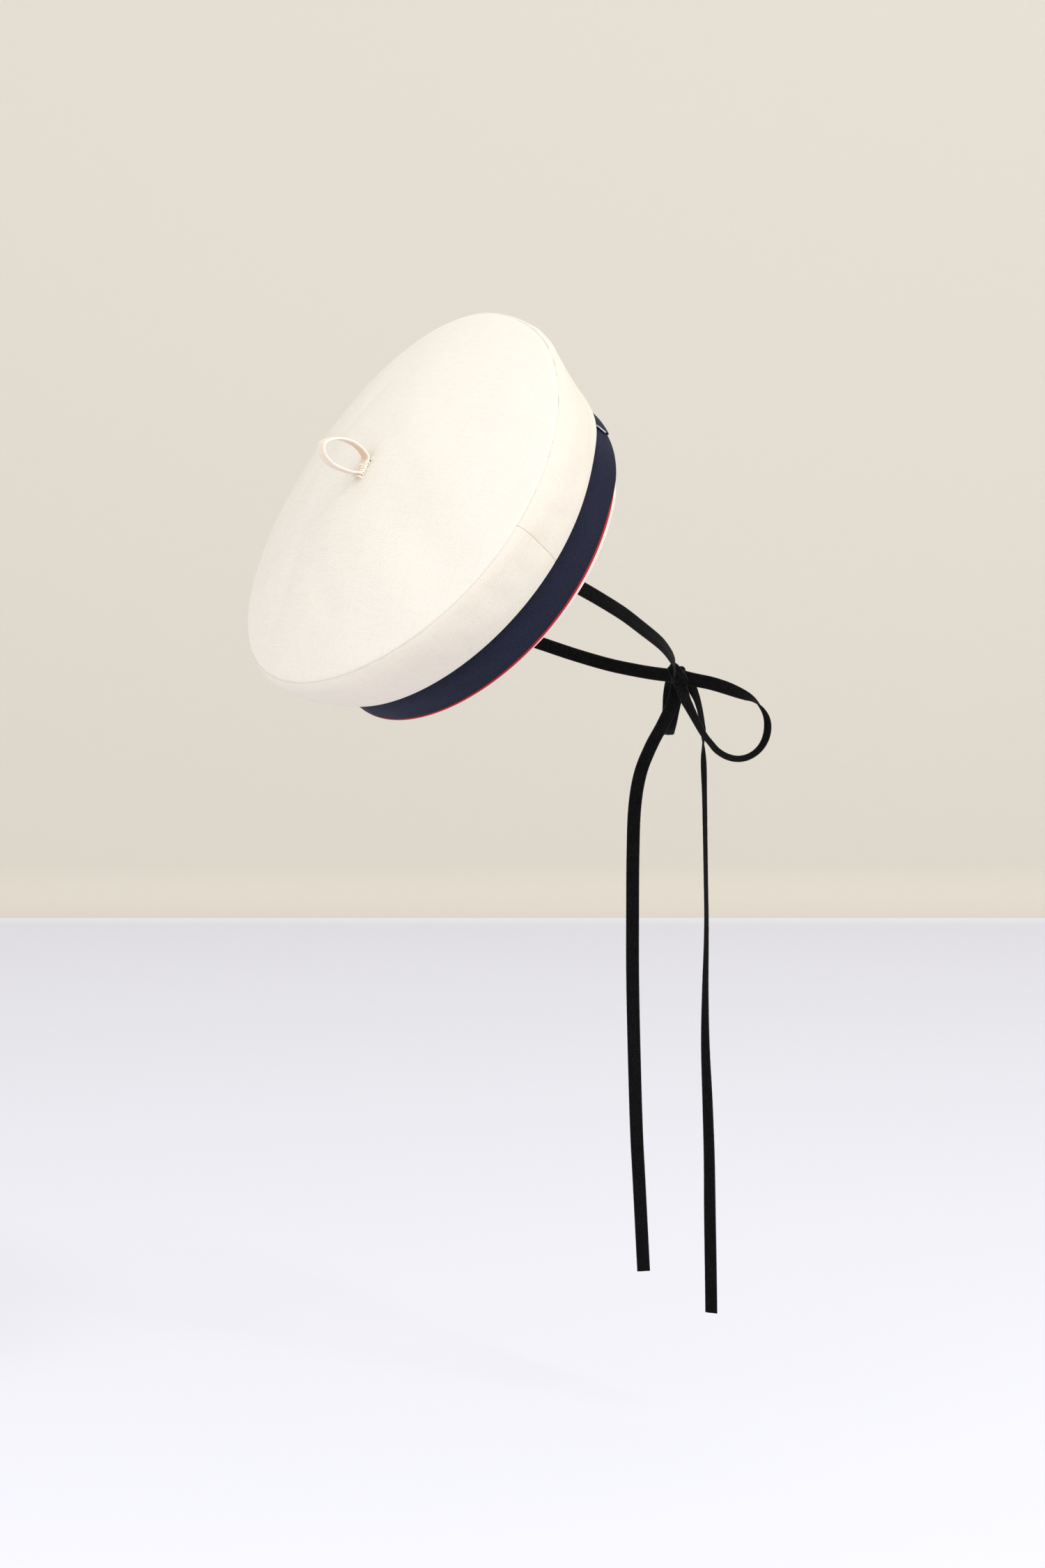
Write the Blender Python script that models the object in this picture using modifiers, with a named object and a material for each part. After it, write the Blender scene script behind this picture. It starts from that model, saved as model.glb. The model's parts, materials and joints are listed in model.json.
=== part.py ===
"""Sailor cap of cream canvas with a navy ribbon, a red edge and velvet ties in a bow.

The cap is shown as a head wears it, tipped forward, with its ties round the nape.
Metres, +Z up. The wearer faces -Y and the wearer's left is +X. The origin is the centre
of the head opening, level with the ribbon's lower edge.
"""

import math

import bmesh
import bpy
from mathutils import Vector

# The head and how the cap sits on it
HEAD_RADIUS = 0.0912
CAP_LEAN = math.radians(57.4)
BAND_DIP = 0.0021

# Thickness of each cloth, and the gap that touching pieces keep
CANVAS = 0.0015
GROSGRAIN = 0.0010
EDGING = 0.0012
VELVET = 0.0010
GAP = 0.0003

# The crown's outer face: the seam round its top, the dome inside it and the panel below
SEAM_HALF_WIDTH = 0.1063
SEAM_HALF_LENGTH = 0.1083
SEAM_SHIFT_BACK = 0.0013
SEAM_HEIGHT = 0.0590
SIDE_DROOP = 0.0070
DOME_HEIGHT = 0.0790
CROWN_HANG = 0.0010
SIDE_SEAM_TURN = math.radians(6.5)

# The side panel's profile. Reach is a share of the way from the ribbon's face out to the
# seam round the top, and drop a share of the way from that seam down to the crown's foot.
SIDE_PROFILE = [
    # reach, drop
    (1.00, 0.00),
    (1.13, 0.14),
    (1.10, 0.35),
    (0.89, 0.64),
    (0.66, 0.86),
    (0.44, 1.00),
]

# Soft dents in the top panel. Across and back are shares of the seam's half width and half
# length, long and wide are half sizes as shares of the half width, deep is in metres.
TIP_DENTS = [
    # across, back, long, wide, turn, deep
    (0.62, -0.30, 0.42, 0.15, math.radians(-28), 0.0022),
    (0.48, 0.68, 0.34, 0.17, math.radians(52), 0.0012),
    (-0.30, -0.45, 0.40, 0.22, math.radians(80), 0.0012),
]

# How far below the seam the side panel's edge starts, clear of the top panel's rim
SEAM_CLEARS = CANVAS + 2 * GAP

# The bands below the crown
RIBBON_WIDTH = 0.0220
RED_SHOWS_AT_BACK = 0.0011
RED_SHOWS_AT_FRONT = 0.0026
CREAM_SHOWS_AT_BACK = 0.0033
LAP_FROM = math.radians(74)
LAP_TO = math.radians(104)
LAP_LIFT = 0.0020

# The loop on the crown's top
LOOP_TAPE_WIDTH = 0.0065
LOOP_TALL = 0.0256
LOOP_WIDE = 0.0156
LOOP_ACROSS = -0.0012
LOOP_BACK = 0.0028

# The loop's middle line: back is a share of half its width, up a share of its height
LOOP_OUTLINE = [
    # back, up
    (-0.27, 0.00),
    (0.30, 0.00),
    (0.68, 0.02),
    (0.87, 0.09),
    (1.00, 0.27),
    (0.94, 0.51),
    (0.62, 0.76),
    (0.05, 0.96),
    (-0.38, 1.00),
    (-0.82, 0.89),
    (-1.00, 0.61),
    (-0.74, 0.25),
    (-0.48, 0.09),
]

# The velvet ties
TIE_WIDTH = 0.0070
TIE_STEP = 0.0060
STRAP_TUCK = 0.0120
BOW_TURN = math.radians(53.4)
KNOT_PLACE = Vector((0.0300, 0.1111, -0.0621))
KNOT_DEEP = 0.0070
KNOT_OUT = 0.0056
KNOT_TALL = 0.0080
KNOT_ROUNDING = 0.0016

# Routes of the ties, chosen by hand, each in metres with the direction of the ribbon's
# width as an azimuth and an elevation in degrees
LEFT_STRAP_ROUTE = [
    (0.0888, 0.0124, -0.0176, 92, 58),
    (0.0845, 0.0305, -0.0254, 98, 61),
    (0.0775, 0.0479, -0.0331, 106, 64),
    (0.0650, 0.0700, -0.0418, 118, 68),
    (0.0530, 0.0859, -0.0485, 128, 72),
    (0.0420, 0.0981, -0.0542, 136, 78),
    (0.0318, 0.1070, -0.0598, 143, 84),
]
RIGHT_STRAP_ROUTE = [
    (-0.0888, 0.0124, -0.0176, 88, 58),
    (-0.0845, 0.0305, -0.0254, 82, 61),
    (-0.0775, 0.0479, -0.0331, 74, 64),
    (-0.0650, 0.0700, -0.0418, 62, 68),
    (-0.0530, 0.0859, -0.0485, 52, 72),
    (-0.0400, 0.0975, -0.0540, 44, 78),
    (-0.0230, 0.1062, -0.0585, 30, 84),
    (-0.0050, 0.1102, -0.0608, 10, 88),
    (0.0110, 0.1110, -0.0618, 0, 90),
    (0.0246, 0.1109, -0.0621, 0, 90),
]
LEFT_BOW_LOOP_ROUTE = [
    (0.0336, 0.1135, -0.0630, -100, -75),
    (0.0383, 0.1165, -0.0641, -98, -74),
    (0.0450, 0.1203, -0.0654, -96, -70),
    (0.0516, 0.1242, -0.0674, -90, -60),
    (0.0573, 0.1274, -0.0696, -80, -44),
    (0.0625, 0.1305, -0.0720, -71, -24),
    (0.0665, 0.1328, -0.0744, -59, 3),
    (0.0694, 0.1344, -0.0779, -37, 20),
    (0.0717, 0.1354, -0.0820, -18, 18),
    (0.0728, 0.1355, -0.0865, -9, 6),
    (0.0726, 0.1349, -0.0917, -11, -8),
    (0.0710, 0.1335, -0.0966, -20, -18),
    (0.0682, 0.1313, -0.1006, -32, -24),
    (0.0643, 0.1285, -0.1033, -45, -25),
    (0.0601, 0.1254, -0.1041, -55, -21),
    (0.0558, 0.1223, -0.1030, -61, -16),
    (0.0516, 0.1194, -0.1001, -64, -11),
    (0.0485, 0.1173, -0.0960, -64, -7),
    (0.0460, 0.1156, -0.0925, -66, -6),
    (0.0434, 0.1141, -0.0879, -69, -5),
    (0.0409, 0.1127, -0.0828, -74, -7),
    (0.0385, 0.1113, -0.0777, -81, -11),
    (0.0364, 0.1101, -0.0731, -89, -14),
    (0.0346, 0.1089, -0.0685, -95, -16),
]
RIGHT_BOW_LOOP_ROUTE = [
    (0.0274, 0.1150, -0.0602, 53, 0),
    (0.0212, 0.1193, -0.0607, 53, 0),
    (0.0090, 0.1265, -0.0630, 53, 0),
    (-0.0023, 0.1330, -0.0680, 53, 0),
    (-0.0092, 0.1372, -0.0756, 53, 0),
    (-0.0113, 0.1385, -0.0841, 53, 0),
    (-0.0088, 0.1360, -0.0913, 53, 0),
    (-0.0028, 0.1306, -0.0955, 53, 0),
    (0.0028, 0.1265, -0.0938, 53, 0),
    (0.0100, 0.1220, -0.0887, 53, 0),
    (0.0173, 0.1183, -0.0792, 53, 0),
    (0.0236, 0.1159, -0.0699, 53, 0),
    (0.0274, 0.1151, -0.0633, 53, 0),
]
LEFT_TAIL_ROUTE = [
    (0.0312, 0.1154, -0.0647, -88, -33),
    (0.0320, 0.1166, -0.0665, -83, -34),
    (0.0325, 0.1181, -0.0685, -79, -28),
    (0.0333, 0.1201, -0.0727, -69, -16),
    (0.0340, 0.1215, -0.0774, -64, -9),
    (0.0346, 0.1224, -0.0821, -62, -5),
    (0.0351, 0.1231, -0.0873, -61, -3),
    (0.0354, 0.1236, -0.0926, -59, -2),
    (0.0356, 0.1237, -0.1062, -17, 0),
    (0.0360, 0.1243, -0.1282, -20, 0),
    (0.0365, 0.1249, -0.1650, -23, 0),
    (0.0368, 0.1253, -0.1946, -22, 0),
    (0.0366, 0.1250, -0.2280, -12, 0),
    (0.0367, 0.1252, -0.2578, 0, 0),
    (0.0375, 0.1262, -0.2877, 10, 0),
    (0.0381, 0.1271, -0.3178, 16, 0),
    (0.0385, 0.1275, -0.3479, 22, 0),
    (0.0388, 0.1280, -0.3744, 24, 0),
    (0.0391, 0.1284, -0.4024, 25, 0),
]
RIGHT_TAIL_ROUTE = [
    (0.0279, 0.1119, -0.0670, 53, 0),
    (0.0267, 0.1120, -0.0714, 53, 0),
    (0.0219, 0.1127, -0.0791, 53, 0),
    (0.0131, 0.1143, -0.0889, 53, 0),
    (0.0014, 0.1162, -0.1008, 53, 0),
    (-0.0091, 0.1172, -0.1166, 53, 0),
    (-0.0136, 0.1170, -0.1357, 53, 0),
    (-0.0149, 0.1170, -0.1621, 53, 0),
    (-0.0149, 0.1169, -0.1962, 53, 0),
    (-0.0148, 0.1170, -0.2265, 53, 0),
    (-0.0143, 0.1177, -0.2646, 53, 0),
    (-0.0134, 0.1189, -0.3105, 53, 0),
    (-0.0124, 0.1202, -0.3413, 53, 0),
    (-0.0109, 0.1223, -0.3892, 53, 0),
]

# How finely the faceted solids are divided
AROUND = 72
TIP_RINGS = 8
SIDE_ROWS = 9
LOOP_STEPS = 30

# Radii that follow from the sizes above
BAND_FACE = HEAD_RADIUS + CANVAS
RIBBON_BACK = BAND_FACE + GAP
RIBBON_FACE = RIBBON_BACK + GROSGRAIN


def clear_scene():
    """Remove whatever the file holds."""
    for old in list(bpy.data.objects):
        bpy.data.objects.remove(old, do_unlink=True)


def material(name, colour, roughness):
    """A plain cloth material."""
    made = bpy.data.materials.new(name)
    made.use_nodes = True
    shader = made.node_tree.nodes["Principled BSDF"]
    shader.inputs["Base Color"].default_value = (*colour, 1.0)
    shader.inputs["Roughness"].default_value = roughness
    shader.inputs["Metallic"].default_value = 0.0
    return made


def curve_value(rows, place):
    """A smooth curve through the rows, read at a place from 0 to 1 along them."""
    last = len(rows) - 1
    spot = min(max(place, 0.0), 1.0) * last
    index = min(int(spot), last - 1)
    t = spot - index
    p0 = rows[max(index - 1, 0)]
    p1 = rows[index]
    p2 = rows[index + 1]
    p3 = rows[min(index + 2, last)]
    value = []
    for a, b, c, d in zip(p0, p1, p2, p3):
        bend = 2 * b + (c - a) * t + (2 * a - 5 * b + 4 * c - d) * t**2
        value.append(0.5 * (bend + (3 * b - a - 3 * c + d) * t**3))
    return value


def closed_curve_value(rows, place):
    """The same for a closed curve, whose last row leads back to its first."""
    count = len(rows)
    looped = [rows[-1]] + list(rows) + [rows[0], rows[1]]
    spot = (place % 1.0) * count
    whole = (spot + 1) / (count + 2)
    return curve_value(looped, whole)


def band_level(angle):
    """How far the band lies above its middle level: its sides dip over the ears."""
    return -BAND_DIP * math.cos(2 * angle)


def front_share(angle):
    """0 at the back, 1 at the front."""
    return (1 - math.sin(angle)) / 2


def red_shows(angle):
    """Height of the red edging below the ribbon."""
    extra = RED_SHOWS_AT_FRONT - RED_SHOWS_AT_BACK
    return RED_SHOWS_AT_BACK + extra * front_share(angle) ** 2


def cream_shows(angle):
    """Height of the head band that shows below the red edging."""
    return CREAM_SHOWS_AT_BACK * (1 - front_share(angle) ** 2)


def seam_point(angle):
    """A point on the seam round the crown's top."""
    across = SEAM_HALF_WIDTH * math.cos(angle)
    back = SEAM_SHIFT_BACK + SEAM_HALF_LENGTH * math.sin(angle)
    level = SEAM_HEIGHT - SIDE_DROOP * math.cos(angle) ** 2
    return Vector((across, back, level))


def dent_depth(across, back):
    """How far the soft dents sink the top panel at a place in it."""
    sunk = 0.0
    for at_across, at_back, long, wide, turn, deep in TIP_DENTS:
        dx = across / SEAM_HALF_WIDTH - at_across
        dy = back / SEAM_HALF_LENGTH - at_back
        along = (dx * math.cos(turn) + dy * math.sin(turn)) / long
        beside = (-dx * math.sin(turn) + dy * math.cos(turn)) / wide
        sunk += deep * math.exp(-(along**2) - beside**2)
    return sunk


def tip_point(angle, share):
    """A point on the top panel, from its middle (share 0) to the seam (share 1)."""
    edge = seam_point(angle)
    across = edge.x * share
    back = SEAM_SHIFT_BACK + (edge.y - SEAM_SHIFT_BACK) * share
    level = DOME_HEIGHT - (DOME_HEIGHT - edge.z) * share**2
    level -= dent_depth(across, back) * (1 - share**4)
    return Vector((across, back, level))


def side_point(angle, place):
    """A point on the side panel's outer face, from the seam (0) to the crown's foot (1)."""
    reach, drop = curve_value(SIDE_PROFILE, place)
    edge = seam_point(angle)
    inner = Vector((RIBBON_FACE * math.cos(angle), RIBBON_FACE * math.sin(angle)))
    out = inner + (edge.xy - inner) * reach
    foot = RIBBON_WIDTH - CROWN_HANG + band_level(angle)
    return Vector((out.x, out.y, edge.z + (foot - edge.z) * drop))


def ring_point(angle, radius, height):
    """A point on one of the bands."""
    level = height + band_level(angle)
    return Vector((radius * math.cos(angle), radius * math.sin(angle), level))


def sheet(name, rows, thickness, look, closed, offset=-1.0, pole=None):
    """Cloth: an open surface through rows of points, given its thickness by Solidify.

    Each row runs anticlockwise seen from above, and the rows run outwards and down, so the
    faces point outwards. A closed sheet joins the ends of its rows, and a pole closes the
    first row with a fan.
    """
    form = bmesh.new()
    made = [[form.verts.new(point) for point in row] for row in rows]
    columns = len(rows[0])
    spans = columns if closed else columns - 1
    for upper, lower in zip(made, made[1:]):
        for j in range(spans):
            k = (j + 1) % columns
            form.faces.new((upper[j], lower[j], lower[k], upper[k]))
    if pole is not None:
        middle = form.verts.new(pole)
        for j in range(spans):
            form.faces.new((middle, made[0][j], made[0][(j + 1) % columns]))
    mesh = bpy.data.meshes.new(name)
    form.to_mesh(mesh)
    form.free()
    mesh.shade_smooth()
    mesh.set_sharp_from_angle(angle=math.radians(40))
    mesh.materials.append(look)
    cloth = bpy.data.objects.new(name, mesh)
    wall = cloth.modifiers.new("Cloth", "SOLIDIFY")
    wall.thickness = thickness
    wall.offset = offset
    wall.use_even_offset = True
    return cloth


def angles_between(start, end, steps):
    """Evenly spaced angles, with both ends."""
    return [start + (end - start) * i / steps for i in range(steps + 1)]


def full_turn():
    """The angles of a whole ring, without a double end."""
    return [2 * math.pi * i / AROUND for i in range(AROUND)]


def make_crown_tip(look):
    """The domed top panel."""
    rows = []
    for ring in range(1, TIP_RINGS + 1):
        share = ring / TIP_RINGS
        rows.append([tip_point(angle, share) for angle in full_turn()])
    return sheet("crown_tip", rows, CANVAS, look, closed=True, pole=tip_point(0.0, 0.0))


def make_side_panel(name, start, end, look):
    """One of the two panels that make the crown's side, from seam to seam."""
    slit = GAP / HEAD_RADIUS
    steps = max(2, round(AROUND * (end - start) / (2 * math.pi)))
    turns = angles_between(start + slit, end - slit, steps)
    first = 0.0
    while (side_point(math.pi / 2, first) - seam_point(math.pi / 2)).length < SEAM_CLEARS:
        first += 0.002
    rows = []
    for i in range(SIDE_ROWS):
        place = first + (1 - first) * i / (SIDE_ROWS - 1)
        rows.append([side_point(angle, place) for angle in turns])
    hem = RIBBON_WIDTH + GAP
    rows.append([ring_point(angle, RIBBON_FACE + 4 * GAP, hem) for angle in turns])
    rows.append([ring_point(angle, HEAD_RADIUS, hem) for angle in turns])
    return sheet(name, rows, CANVAS, look, closed=False)


def make_head_band(look):
    """The canvas band that grips the head, with its lower edge in sight."""
    top = [ring_point(angle, BAND_FACE, RIBBON_WIDTH) for angle in full_turn()]
    low = []
    for angle in full_turn():
        low.append(ring_point(angle, BAND_FACE, -red_shows(angle) - cream_shows(angle)))
    return sheet("head_band", [top, low], CANVAS, look, closed=True)


def make_ribbon(look):
    """The navy ribbon, whose two ends meet under the lap at the back."""
    slit = GAP / RIBBON_FACE
    middle = (LAP_FROM + LAP_TO) / 2
    turns = angles_between(middle + slit, middle - slit + 2 * math.pi, AROUND)
    top = [ring_point(angle, RIBBON_FACE, RIBBON_WIDTH) for angle in turns]
    low = [ring_point(angle, RIBBON_FACE, 0.0) for angle in turns]
    return sheet("grosgrain_ribbon", [top, low], GROSGRAIN, look, closed=False)


def make_ribbon_lap(look):
    """The lapped end of the ribbon, whose loose edge stands off at the top."""
    turns = angles_between(LAP_FROM, LAP_TO, 8)
    rows = []
    for share in (1.0, 0.5, 0.0):
        row = []
        for angle in turns:
            loose = ((LAP_TO - angle) / (LAP_TO - LAP_FROM)) ** 3
            lift = LAP_LIFT * loose * (0.3 + 0.7 * share)
            face = RIBBON_FACE + GAP + GROSGRAIN + lift
            row.append(ring_point(angle, face, RIBBON_WIDTH * share - GAP * share))
        rows.append(row)
    return sheet("ribbon_lap", rows, GROSGRAIN, look, closed=False)


def make_red_edge(look):
    """The red edging under the ribbon, wider at the front."""
    top = [ring_point(angle, RIBBON_BACK + EDGING, -GAP) for angle in full_turn()]
    low = [ring_point(angle, RIBBON_BACK + EDGING, -red_shows(angle)) for angle in full_turn()]
    return sheet("red_edge", [top, low], EDGING, look, closed=True)


def make_crown_loop(look):
    """The tape loop, a closed ring of tape that stands on the top panel."""
    spot = Vector((LOOP_ACROSS, LOOP_BACK - SEAM_SHIFT_BACK))
    share = math.hypot(spot.x / SEAM_HALF_WIDTH, spot.y / SEAM_HALF_LENGTH)
    angle = math.atan2(spot.y / SEAM_HALF_LENGTH, spot.x / SEAM_HALF_WIDTH)
    seat = tip_point(angle, share)
    lowest = seat.z + GAP + CANVAS / 2
    rows = []
    for i in range(LOOP_STEPS):
        back, up = closed_curve_value(LOOP_OUTLINE, i / LOOP_STEPS)
        y = seat.y + back * LOOP_WIDE / 2
        z = lowest + up * LOOP_TALL
        near = Vector((seat.x + LOOP_TAPE_WIDTH / 2, y, z))
        far = Vector((seat.x - LOOP_TAPE_WIDTH / 2, y, z))
        rows.append([far, near])
    rows.append(rows[0])
    return tape_ring("crown_loop", rows[:-1], CANVAS, look)


def tape_ring(name, rungs, thickness, look):
    """A closed ring of tape through pairs of edge points."""
    form = bmesh.new()
    made = [[form.verts.new(point) for point in rung] for rung in rungs]
    count = len(made)
    for i in range(count):
        near = made[i]
        far = made[(i + 1) % count]
        form.faces.new((near[0], near[1], far[1], far[0]))
    mesh = bpy.data.meshes.new(name)
    form.to_mesh(mesh)
    form.free()
    mesh.shade_smooth()
    mesh.set_sharp_from_angle(angle=math.radians(40))
    mesh.materials.append(look)
    ring = bpy.data.objects.new(name, mesh)
    wall = ring.modifiers.new("Cloth", "SOLIDIFY")
    wall.thickness = thickness
    wall.offset = 0.0
    wall.use_even_offset = True
    return ring


def direction(azimuth, elevation):
    """A unit vector from an azimuth and an elevation in degrees."""
    turn = math.radians(azimuth)
    rise = math.radians(elevation)
    level = math.cos(rise)
    return Vector((level * math.cos(turn), level * math.sin(turn), math.sin(rise)))


def tie(name, route, look):
    """A flat velvet ribbon along a route of places and width directions."""
    rows = [(*row[:3], *direction(*row[3:])) for row in route]
    length = sum(math.dist(a[:3], b[:3]) for a, b in zip(rows, rows[1:]))
    steps = max(4, round(length / TIE_STEP))
    fine = [curve_value(rows, i / (8 * steps)) for i in range(8 * steps + 1)]
    travelled = [0.0]
    for a, b in zip(fine, fine[1:]):
        travelled.append(travelled[-1] + math.dist(a[:3], b[:3]))
    picked = []
    for i in range(steps + 1):
        goal = travelled[-1] * i / steps
        nearest = min(range(len(fine)), key=lambda k: abs(travelled[k] - goal))
        picked.append(nearest)
    edges = []
    for index in picked:
        before = fine[max(index - 1, 0)]
        after = fine[min(index + 1, len(fine) - 1)]
        along = Vector([b - a for a, b in zip(before[:3], after[:3])]).normalized()
        place = Vector(fine[index][:3])
        wide = Vector(fine[index][3:])
        wide = (wide - along * wide.dot(along)).normalized() * TIE_WIDTH / 2
        edges.append([place - wide, place + wide])
    return sheet(name, edges, VELVET, look, closed=False, offset=0.0)


def strap_rows(side, route):
    """The strap's tucked end inside the band, on the wearer's left (1) or right (-1)."""
    radius = HEAD_RADIUS - GAP - VELVET / 2
    angle = -SIDE_SEAM_TURN
    across = -side * math.sin(angle)
    azimuth = math.degrees(math.atan2(math.cos(angle) * math.cos(CAP_LEAN), across))
    elevation = math.degrees(math.asin(math.cos(angle) * math.sin(CAP_LEAN)))
    rows = []
    for height in (STRAP_TUCK, STRAP_TUCK / 2, 0.0, -CREAM_SHOWS_AT_BACK):
        place = ring_point(angle, radius, height)
        y = place.y * math.cos(CAP_LEAN) - place.z * math.sin(CAP_LEAN)
        z = place.y * math.sin(CAP_LEAN) + place.z * math.cos(CAP_LEAN)
        rows.append((side * place.x, y, z, azimuth, elevation))
    return rows + route


def make_knot(look):
    """The knot, a small rounded block turned with the bow."""
    bpy.ops.mesh.primitive_cube_add(size=1.0, location=KNOT_PLACE)
    knot = bpy.context.object
    knot.name = "bow_knot"
    for corner in knot.data.vertices:
        corner.co.x *= KNOT_OUT
        corner.co.y *= KNOT_DEEP
        corner.co.z *= KNOT_TALL
    knot.rotation_euler.z = BOW_TURN
    knot.data.materials.append(look)
    rounding = knot.modifiers.new("Rounding", "BEVEL")
    rounding.width = KNOT_ROUNDING
    rounding.segments = 3
    knot.data.shade_smooth()
    return knot


def build():
    """Make every piece and put it in the cap's collection."""
    clear_scene()
    group = bpy.data.collections.new("Sailor cap")
    bpy.context.scene.collection.children.link(group)
    canvas = material("Cream canvas", (0.87, 0.83, 0.75), 0.9)
    navy = material("Navy grosgrain", (0.018, 0.022, 0.055), 0.7)
    red = material("Red edging", (0.60, 0.02, 0.03), 0.7)
    velvet = material("Black velvet", (0.008, 0.007, 0.009), 0.95)

    frame = bpy.data.objects.new("cap_frame", None)
    frame.rotation_euler.x = CAP_LEAN
    group.objects.link(frame)
    left = -SIDE_SEAM_TURN
    right = math.pi + SIDE_SEAM_TURN
    worn = [
        make_crown_tip(canvas),
        make_side_panel("side_panel_back", left, right, canvas),
        make_side_panel("side_panel_front", right, left + 2 * math.pi, canvas),
        make_head_band(canvas),
        make_ribbon(navy),
        make_ribbon_lap(navy),
        make_red_edge(red),
        make_crown_loop(canvas),
    ]
    for piece in worn:
        group.objects.link(piece)
        piece.parent = frame

    ties = [
        tie("left_strap", strap_rows(1, LEFT_STRAP_ROUTE), velvet),
        tie("right_strap", strap_rows(-1, RIGHT_STRAP_ROUTE), velvet),
        tie("left_bow_loop", LEFT_BOW_LOOP_ROUTE, velvet),
        tie("right_bow_loop", RIGHT_BOW_LOOP_ROUTE, velvet),
        tie("left_tail", LEFT_TAIL_ROUTE, velvet),
        tie("right_tail", RIGHT_TAIL_ROUTE, velvet),
    ]
    for piece in ties:
        group.objects.link(piece)
    knot = make_knot(velvet)
    for holder in list(knot.users_collection):
        holder.objects.unlink(knot)
    group.objects.link(knot)


build()
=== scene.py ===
"""Dresses a packed sailor cap in canvas, ribbed ribbon, red edging, stitches and velvet.

Metres, in the cap's row frame: +Z up, the wearer faces -Y and the wearer's left is +X. The
crown and its bands are made upright in the cap's own frame and tipped forward at the end.
"""

import json
import math

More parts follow.
